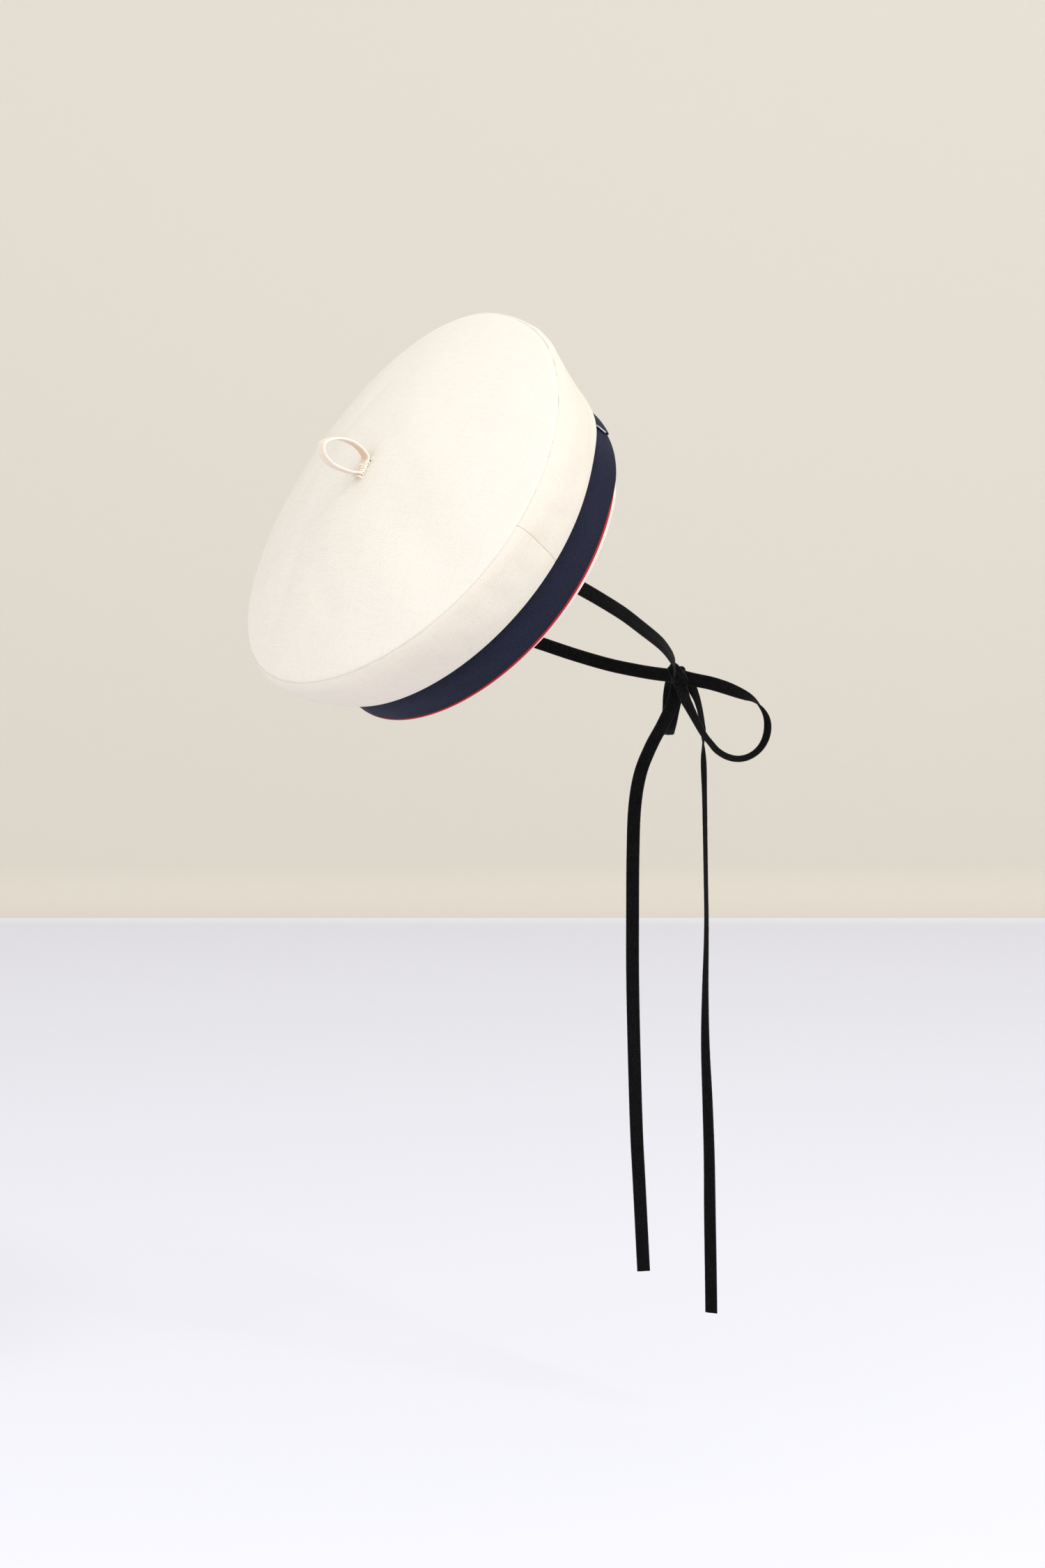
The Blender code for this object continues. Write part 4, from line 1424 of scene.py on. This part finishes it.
class SAILORCAP_OT_bands(bpy.types.Operator):
    """Make the head band, the ribbed ribbon with its lap, and the red edge."""

    bl_idname = "sailor_cap.bands"
    bl_label = "Bands"

    def execute(self, context):
        settings = context.scene.sailor_cap_cloth
        canvas = canvas_material("Band canvas", settings, (0.99, 0.985, 0.97))
        navy = grosgrain_material("Navy grosgrain", settings)
        # The ground between the ribs is the navy at 0.35: painted shade in the hollows between the ribs.
        self.ground = grosgrain_material("Navy ground", settings, shade=0.35)
        red = thread_material("Red edging", tuple(settings.red_colour), 0.1, deep=0.7)
        thread = thread_material("Band thread", tuple(settings.canvas_colour))
        self.head_band(canvas)
        self.ribbon(navy, settings)
        self.ribbon_lap(navy, settings)
        self.red_edge(red, settings)
        self.band_stitches(thread, settings)
        return {"FINISHED"}

    def head_band(self, look):
        """The canvas band with its edge folded round a core, open at the top."""
        def profile(angle):
            low = -red_shows(angle) - cream_shows(angle)
            half = CANVAS / 2
            middle = BAND_FACE - half
            shape = [(BAND_FACE, RIBBON_WIDTH), (BAND_FACE, RIBBON_WIDTH / 2), (BAND_FACE, 0.0)]
            shape += [(BAND_FACE, low + 1.6 * half)]
            for k in range(9):
                turn = math.pi * k / 8
                shape.append((middle + half * math.cos(turn), low + half - half * math.sin(turn)))
            shape += [(HEAD_RADIUS, low + 1.6 * half), (HEAD_RADIUS, 0.0)]
            shape += [(HEAD_RADIUS, RIBBON_WIDTH / 2), (HEAD_RADIUS, RIBBON_WIDTH)]
            shape += [(BAND_FACE, RIBBON_WIDTH)]
            return shape

        angles = ring_angles(AROUND)
        mesh = swept_band("folded_head_band", profile, angles)
        add_piece(mesh, look, "cream_canvas", ["head_band"])

    def ribbon(self, look, settings):
        """The ribbon's ground, and the ribs that cross it."""
        face = RIBBON_FACE - settings.rib_height

        def profile(angle):
            low = ribbon_low(angle)
            return [
                (RIBBON_BACK, RIBBON_WIDTH),
                (face, RIBBON_WIDTH),
                (face, RIBBON_WIDTH * 0.66),
                (face, RIBBON_WIDTH * 0.33),
                (face, low),
                (RIBBON_BACK, low),
                (RIBBON_BACK, RIBBON_WIDTH),
            ]

        angles = ring_angles(AROUND)
        mesh = swept_band("ribbon_ground", profile, angles)
        add_piece(mesh, self.ground, "navy_grosgrain", ["grosgrain_ribbon"])
        places = []
        for angle in angles:
            middle = RIBBON_WIDTH / 2 + ribbon_low(angle)
            places.append((ring_point(angle, face, middle), radial(angle)))
        self.ribs("ribbon_ribs", places, True, look, settings, RIBBON_WIDTH)

    def ribs(self, name, places, closed, look, settings, wide):
        """Ribs across a stretch of ribbon."""
        size = (settings.rib_pitch * RIB_FILL, wide, settings.rib_height * 2)
        mesh = bars_mesh(
            name, places, look, settings.rib_pitch, size, closed=closed, uneven=0.0, sides=8,
            straight=True,
        )
        map_ribs(mesh)
        add_piece(mesh, look, "navy_grosgrain")

    def ribbon_lap(self, look, settings):
        """The lapped end of the ribbon, with its cut edge turned under."""
        angles = even_angles(LAP_FROM, LAP_TO, 60)
        lap_back = RIBBON_FACE + GAP

        def lift(angle, share):
            loose = ((LAP_TO - angle) / (LAP_TO - LAP_FROM)) ** 3
            return LAP_LIFT * loose * (LAP_TURNED + (1 - LAP_TURNED) * share)

        rows = []
        pattern = []
        top = RIBBON_WIDTH - GAP
        thick = GROSGRAIN - settings.rib_height
        outline = ((0.0, 1.0), (1.0, 1.0), (1.0, 0.66), (1.0, 0.33), (1.0, 0.0), (0.0, 0.0))
        for out, share in outline + ((0.0, 1.0),):
            row = []
            for angle in angles:
                radius = lap_back + thick * out + lift(angle, share)
                row.append(ring_point(angle, radius, top * share))
            rows.append(row)
            pattern.append([(angle * BAND_FACE, share * top) for angle in angles])
        mesh = woven_mesh("lap_ground", rows, pattern)
        cap_columns(mesh, len(rows), len(angles))
        add_piece(mesh, self.ground, "navy_grosgrain", ["ribbon_lap"])
        self.cut_end(lap_back + lift(LAP_FROM, 0.3), thick)
        places = []
        for angle in angles:
            radius = lap_back + thick + lift(angle, 0.5)
            slope = LAP_LIFT * 0.7 * ((LAP_TO - angle) / (LAP_TO - LAP_FROM)) ** 3 / top
            facing = Vector((math.cos(angle), math.sin(angle), -slope)).normalized()
            places.append((ring_point(angle, radius, top / 2), facing))
        self.ribs("lap_ribs", places, False, look, settings, top)

    def cut_end(self, radius, thick):
        """The pale threads of the ribbon's cut end."""
        points = []
        for height in CUT_END_HEIGHTS:
            for turn in (LAP_FROM - math.radians(0.30), LAP_FROM + math.radians(0.1)):
                for out in (0.1, 0.9):
                    points.append(ring_point(turn, radius + thick * out, height))
        sides = ((0, 4, 5, 1), (2, 3, 7, 6), (0, 2, 6, 4), (1, 5, 7, 3))
        mesh = bpy.data.meshes.new("ribbon_cut_end")
        mesh.from_pydata(points, [], ((0, 1, 3, 2), (4, 6, 7, 5)) + sides)
        weld_outwards(mesh)
        look = thread_material("Cut end", CUT_END_COLOUR, deep=0.9)
        add_piece(mesh, look, "navy_grosgrain")

    def red_edge(self, look, settings):
        """The red edge: a flat core and a fine twist laid over it."""
        def profile(angle):
            low = min(-red_shows(angle), -red_height(angle))
            high = max(ribbon_low(angle) - GAP * 0.2, low + 0.0003)
            face = RIBBON_BACK + EDGING * (0.78 - 0.4 * lap_cover(angle))
            bend = min(EDGING * 0.3, (high - low) * 0.9)
            return [
                (RIBBON_BACK, high),
                (face - bend, high),
                (face, high - bend * 0.5),
                (face, low + bend * 0.5),
                (face - bend, low),
                (RIBBON_BACK, low),
                (RIBBON_BACK, high),
            ]

        angles = ring_angles(AROUND)
        mesh = swept_band("red_edge_core", profile, angles)
        add_piece(mesh, look, "red_edging", ["red_edge"])
        places = []
        for angle in angles:
            hidden = lap_cover(angle)
            shows = max(red_shows(angle), red_height(angle))
            level = ribbon_low(angle) / 2 - shows / 2
            radius = RIBBON_BACK + EDGING * 0.72 - 0.0009 * hidden
            places.append((ring_point(angle, radius, level + 0.0008 * hidden), radial(angle)))
        size = (settings.cord_pitch * 1.15, 0.00048, EDGING * 0.34)
        add_bars(
            "red_edge_twist", places, look, "red_edging", settings.cord_pitch, size,
            closed=True, slant=math.radians(24), uneven=0.10, sides=8, rings=5,
        )

    def band_stitches(self, look, settings):
        """Overcast stitches on the part of the band that shows."""
        places = []
        for angle in even_angles(math.radians(-42), math.radians(222), 400):
            level = -red_shows(angle) - cream_shows(angle) * 0.45
            places.append((ring_point(angle, BAND_FACE, level), radial(angle)))
        size = (0.0009, settings.thread_thickness * 0.7, settings.thread_thickness * 0.35)
        add_bars(
            "band_stitches", places, look, "cream_canvas", 0.0015, size,
            slant=math.radians(-52), uneven=0.15,
        )


def map_ribs(mesh):
    """A UV map in metres for ribs, from their own places round the band."""
    layer = mesh.uv_layers.new(name="Cloth")
    values = []
    for loop in mesh.loops:
        point = mesh.vertices[loop.vertex_index].co
        values += [math.atan2(point.y, point.x) * BAND_FACE, point.z]
    layer.data.foreach_set("uv", values)


def cap_columns(mesh, count, columns):
    """Close the two ends of a swept strip."""
    strips = []
    for column in (0, columns - 1):
        strips.append([i * columns + column for i in range(count - 1)])
    weld_outwards(mesh, strips)


# The tape loop


def tape_material(name, settings):
    """Canvas tape with painted shade: a warm tan, mixed in by a point attribute, stands in for shade and for light
    seen through the cloth on its inner side, and for shade on its outer face.
    """
    look = canvas_material(name, settings, (1.04, 1.03, 1.02), fineness=1.5, relief=0.00004)
    tree = look.node_tree
    shader = tree.nodes["Principled BSDF"]
    base = shader.inputs["Base Color"].links[0].from_socket
    # Painted shade: the warm tan below is mixed in by the share stored on each point of the tape.
    painted_shade = add_node(tree, "ShaderNodeAttribute", attribute_name="PaintedShade").outputs["Fac"]
    base = mixed_colour(tree, painted_shade, base, (0.66, 0.45, 0.27))
    fill_inputs(tree, shader, {"Base Color": base})
    return look


def top_level(across, back):
    """Level of the top panel's cloth at a place in it."""
    x = across / SEAM_HALF_WIDTH
    y = (back - SEAM_SHIFT_BACK) / SEAM_HALF_LENGTH
    return tip_surface(math.atan2(y, x), math.hypot(x, y)).z


def loop_seat():
    """Where the loop stands on the top panel."""
    return Vector((LOOP_ACROSS, LOOP_BACK, top_level(LOOP_ACROSS, LOOP_BACK)))


class SAILORCAP_OT_tape_loop(bpy.types.Operator):
    """Make the folded tape loop on top, with its raw sewn ends."""

    bl_idname = "sailor_cap.tape_loop"
    bl_label = "Tape Loop"

    def execute(self, context):
        settings = context.scene.sailor_cap_cloth
        self.tape(tape_material("Canvas tape", settings))
        # Painted light: the frayed threads take the canvas colour raised by 1.20, 1.18 and 1.14, lighter than their
        # cloth, against the shade of the ring over them.
        thread = tinted(settings.canvas_colour, 1.20, 1.18, 1.14)
        self.frayed_ends(thread_material("Frayed thread", thread, deep=0.88))
        return {"FINISHED"}

    def tape(self, look):
        """The ring of tape, with its long edges folded round."""
        seat = loop_seat()
        lowest = seat.z + GAP + CANVAS / 2
        steps = 130
        rows = []
        pattern = []
        painted_shade_shares = []
        run = 0.0
        before = None
        for i in range(steps):
            back, up = closed_curve_value(LOOP_OUTLINE, i / steps)
            ahead_back, ahead_up = closed_curve_value(LOOP_OUTLINE, (i + 0.5) / steps)
            middle = Vector((seat.x, seat.y + back * LOOP_WIDE / 2, lowest + up * LOOP_TALL))
            along = Vector(
                (0.0, (ahead_back - back) * LOOP_WIDE / 2, (ahead_up - up) * LOOP_TALL)
            ).normalized()
            outward = Vector((0.0, along.z, -along.y))
            if before is not None:
                run += (middle - before).length
            before = middle
            row = []
            marks = []
            # Share of painted shade on the inner side: a warm tan, strongest low down and towards the back, for shade
            # and for light seen through the cloth.
            inner = 0.80 * max(0.0, 1 - up * 0.8) * (0.55 + 0.45 * back)
            for face, share in flat_section(14):
                edge = max(0.0, 1 - abs(share) ** 5) ** 0.5
                uneven = noise.noise(Vector((run * 160, share * 1.5, 1.0))) * 0.00012
                lift = face * CANVAS / 2 * (0.35 + 0.65 * edge) + uneven
                lift -= hump(share, 0.62, 0.12, 0.00013) if face > 0 else 0.0
                across = Vector((share * LOOP_TAPE_WIDTH / 2, 0.0, 0.0))
                row.append(middle + across + outward * lift)
                marks.append((run, share * LOOP_TAPE_WIDTH / 2))
                # Painted shade: the inner face takes the share above and the outer face 0.30, both fading out at the
                # folded edges.
                painted_shade_shares.append((1 - abs(share) ** 6) * (inner if face < 0 else 0.30))
            rows.append(row)
            pattern.append(marks + [marks[0]])
        rows.append(rows[0])
        pattern.append([(run + 0.0006, mark[1]) for mark in pattern[0]])
        painted_shade_shares += painted_shade_shares[: len(rows[0])]
        mesh = woven_mesh("folded_tape", rows, pattern, closed=True)
        # Store the painted shade shares on the points, for the tape's material.
        tint = mesh.attributes.new("PaintedShade", "FLOAT", "POINT")
        tint.data.foreach_set("value", [max(0.0, value) for value in painted_shade_shares])
        weld_outwards(mesh)
        add_piece(mesh, look, "cream_canvas", ["crown_loop"])

    def frayed_ends(self, look):
        """Short loose threads where the tape's raw ends are sewn down."""
        seat = loop_seat()
        places = []
        for i in range(361):
            share = i / 360
            sweep = math.sin(share * 66)
            stray = noise.noise(Vector((i * 0.37, 2.2, 8.8)))
            across = seat.x + (sweep * 0.54 + stray * 0.16) * LOOP_TAPE_WIDTH
            back = seat.y + (share - 0.42 + stray * 0.10) * 0.0118
            level = top_level(across, back) + 0.00035
            if abs(back - seat.y) < 0.0052 and abs(sweep) < 0.85:
                level += CANVAS
            level += 0.0004 * noise.noise(Vector((share * 60, sweep, 0.0)))
            tilt = Vector((math.sin(i * 2.3), math.cos(i * 1.7), 1.1))
            places.append((Vector((across, back, level)), tilt.normalized()))
        add_bars(
            "frayed_ends", places, look, "cream_canvas", 0.00035, (0.00130, 0.00032, 0.00032),
            spread=math.pi, uneven=0.45,
        )


# Stitches along the seams


class SAILORCAP_OT_seams(bpy.types.Operator):
    """Sew the crown's seams."""

    bl_idname = "sailor_cap.seams"
    bl_label = "Seams"

    def execute(self, context):
        settings = context.scene.sailor_cap_cloth
        look = thread_material("Seam thread", tinted(settings.thread_colour, 0.72))
        angles = ring_angles(360)
        places = []
        for angle in angles:
            sunk = seam_point(angle) - radial(angle) * 0.0002 + Vector((0.0, 0.0, -0.0009))
            places.append((sunk, (radial(angle) + Vector((0, 0, 1))).normalized()))
        size = (settings.stitch_length * 0.8, 0.0006, settings.thread_thickness)
        add_bars(
            "top_seam_stitches", places, look, "cream_canvas", settings.stitch_length, size,
            closed=True, uneven=0.06,
        )
        pale = tinted(settings.thread_colour, 1.30, 1.30, 1.25)
        look = thread_material("Side seam thread", pale, deep=0.8)
        for name, turn in (("left", LEFT_SEAM), ("right", RIGHT_SEAM)):
            self.side_seam(name, turn, look, settings)
        # Painted shade: the allowance takes the canvas colour at 0.84, 0.78 and 0.69, a darker tan for the shade in
        # the seam's groove.
        allowance = tinted(settings.canvas_colour, 0.84, 0.78, 0.69)
        self.seam_allowance(angles, thread_material("Seam allowance", allowance, deep=0.85))
        return {"FINISHED"}

    def seam_allowance(self, angles, look):
        """The turned-in cloth at the bottom of the top seam, in a darker tan that is painted shade."""
        rows = []
        pattern = []
        for k in range(7):
            turn = FULL_TURN * k / 6
            row = []
            for angle in angles:
                out = radial(angle)
                middle = seam_point(angle) - out * 0.0008 + Vector((0.0, 0.0, -0.0012))
                rise = Vector((0.0, 0.0, math.sin(turn) * ALLOWANCE_RADIUS))
                row.append(middle + out * math.cos(turn) * ALLOWANCE_RADIUS + rise)
            rows.append(row)
            marks = [(angle * SEAM_HALF_WIDTH, k * 0.0007) for angle in angles]
            pattern.append(marks + [(FULL_TURN * SEAM_HALF_WIDTH, k * 0.0007)])
        mesh = woven_mesh("seam_allowance", rows, pattern, closed=True)
        weld_outwards(mesh)
        add_piece(mesh, look, "cream_canvas")

    def side_seam(self, name, turn, look, settings):
        """Fine stitches sunk in a side seam."""
        places = []
        for i in range(121):
            place = 0.04 + 0.94 * i / 120
            point = side_surface(turn, place)
            down = side_surface(turn, place + 0.004) - side_surface(turn, place - 0.004)
            beside = side_surface(turn + 0.004, place) - side_surface(turn - 0.004, place)
            outward = beside.cross(down).normalized()
            if outward.dot(Vector((math.cos(turn), math.sin(turn), 0.3))) < 0:
                outward = -outward
            places.append((point - outward * 0.00022, outward))
        size = (settings.stitch_length * 0.62, 0.00034, settings.thread_thickness)
        add_bars(
            name + "_seam_stitches", places, look, "cream_canvas",
            settings.stitch_length * 0.8, size, uneven=0.1,
        )


# Stage


class SAILORCAP_OT_stage(bpy.types.Operator):
    """Set up the camera, the floor with its wall, and the soft lights."""

    bl_idname = "sailor_cap.stage"
    bl_label = "Stage"

    def execute(self, context):
        settings = context.scene.sailor_cap_stage
        forward = Vector((-math.sin(VIEW_TURN), math.cos(VIEW_TURN), 0.0))
        right = Vector((math.cos(VIEW_TURN), math.sin(VIEW_TURN), 0.0))
        lens = bpy.data.cameras.new("Camera")
        lens.sensor_fit = "HORIZONTAL"
        lens.sensor_width = SENSOR_WIDTH
        lens.lens = SENSOR_WIDTH * LENS_PIXELS / PHOTO_WIDTH
        lens.clip_start = 0.05
        camera = bpy.data.objects.new("Camera", lens)
        camera.location = CAMERA_PLACE
        camera.rotation_euler = (math.radians(90 - CAMERA_DIP), 0.0, VIEW_TURN)
        context.scene.collection.objects.link(camera)
        context.scene.camera = camera
        self.backdrop(context, settings, forward, right)
        up = Vector((0, 0, 1))
        self.soft_light("Key", -forward * 1.3 + right * 1.5 + up * 1.7, 0.8, settings.key_power)
        self.soft_light("Fill", -forward * 1.6 - right * 1.6 + up * 0.5, 1.6,
                        settings.fill_power)
        world = bpy.data.worlds.new("Room")
        world.use_nodes = True
        air = world.node_tree.nodes["Background"]
        air.inputs["Color"].default_value = (1.0, 0.99, 0.985, 1.0)
        air.inputs["Strength"].default_value = settings.room_light
        context.scene.world = world
        context.scene.view_settings.view_transform = "Standard"
        return {"FINISHED"}

    def backdrop(self, context, settings, forward, right):
        """A floor that turns up into a wall behind the cap."""
        low = -settings.floor_drop
        away = settings.wall_away
        bend = CORNER_BEND
        line = [(FLOOR_FRONT, low), (away - bend, low)]
        for k in range(1, 12):
            turn = math.pi / 2 * k / 12
            line.append((away - bend + bend * math.sin(turn), low + bend * (1 - math.cos(turn))))
        line += [(away, low + bend), (away, low + WALL_TALL)]
        points = []
        faces = []
        for far, high in line:
            for side in (-FLOOR_HALF_WIDTH, FLOOR_HALF_WIDTH):
                points.append(forward * far + right * side + Vector((0, 0, high)))
        for i in range(len(line) - 1):
            faces.append((2 * i, 2 * i + 1, 2 * i + 3, 2 * i + 2))
        mesh = bpy.data.meshes.new("Backdrop")
        mesh.from_pydata(points, [], faces)
        mesh.shade_smooth()
        look, tree, shader = new_material("Backdrop", 0.9, 0.0)
        split = add_node(tree, "ShaderNodeSeparateXYZ", {"Vector": object_map(tree)})
        raised = maths(tree, "GREATER_THAN", split.outputs["Z"], low + 0.004)
        base = mixed_colour(tree, raised, settings.floor_colour, settings.wall_colour)
        fill_inputs(tree, shader, {"Base Color": base})
        mesh.materials.append(look)
        made = bpy.data.objects.new("Backdrop", mesh)
        context.scene.collection.objects.link(made)
        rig.stage(made)

    def soft_light(self, name, place, size, power):
        """A large square light aimed at the cap."""
        glow = bpy.data.lights.new(name, "AREA")
        glow.shape = "SQUARE"
        glow.size = size
        glow.energy = power
        lamp = bpy.data.objects.new(name, glow)
        lamp.location = place
        aim = Vector((0.0, 0.02, -0.02)) - place
        lamp.rotation_euler = aim.to_track_quat("-Z", "Y").to_euler()
        bpy.context.scene.collection.objects.link(lamp)


class SAILORCAP_PT_panel(bpy.types.Panel):
    """Lists the cap's operators and settings."""

    bl_idname = "SAILORCAP_PT_panel"
    bl_label = "Sailor Cap"
    bl_space_type = "VIEW_3D"
    bl_region_type = "UI"
    bl_category = "Sailor Cap"

    def draw(self, context):
        for maker in OPERATORS:
            self.layout.operator(maker.bl_idname)
        for group in (context.scene.sailor_cap_cloth, context.scene.sailor_cap_stage):
            box = self.layout.box()
            for name in group.__annotations__:
                box.prop(group, name)


OPERATORS = (
    SAILORCAP_OT_stage,
    SAILORCAP_OT_ties,
    SAILORCAP_OT_crown,
    SAILORCAP_OT_bands,
    SAILORCAP_OT_tape_loop,
    SAILORCAP_OT_seams,
)
CLASSES = (SailorCapCloth, SailorCapStage) + OPERATORS + (SAILORCAP_PT_panel,)


def register():
    """Add the classes and the scene's settings."""
    for item in CLASSES:
        bpy.utils.register_class(item)
    bpy.types.Scene.sailor_cap_cloth = bpy.props.PointerProperty(type=SailorCapCloth)
    bpy.types.Scene.sailor_cap_stage = bpy.props.PointerProperty(type=SailorCapStage)


def unregister():
    """Take them away again."""
    del bpy.types.Scene.sailor_cap_stage
    del bpy.types.Scene.sailor_cap_cloth
    for item in reversed(CLASSES):
        bpy.utils.unregister_class(item)


def main():
    """Make every piece in order, and note the sizes."""
    register()
    bpy.ops.sailor_cap.stage()
    bpy.ops.sailor_cap.ties()
    bpy.ops.sailor_cap.crown()
    bpy.ops.sailor_cap.bands()
    bpy.ops.sailor_cap.tape_loop()
    bpy.ops.sailor_cap.seams()
    boxes = {"cad": CAD_BOX, "visual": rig.bounds()}
    plain = {name: [list(corner) for corner in box] for name, box in boxes.items()}
    with open("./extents.json", "w") as file:
        json.dump(plain, file)


if __name__ == "__main__":
    main()
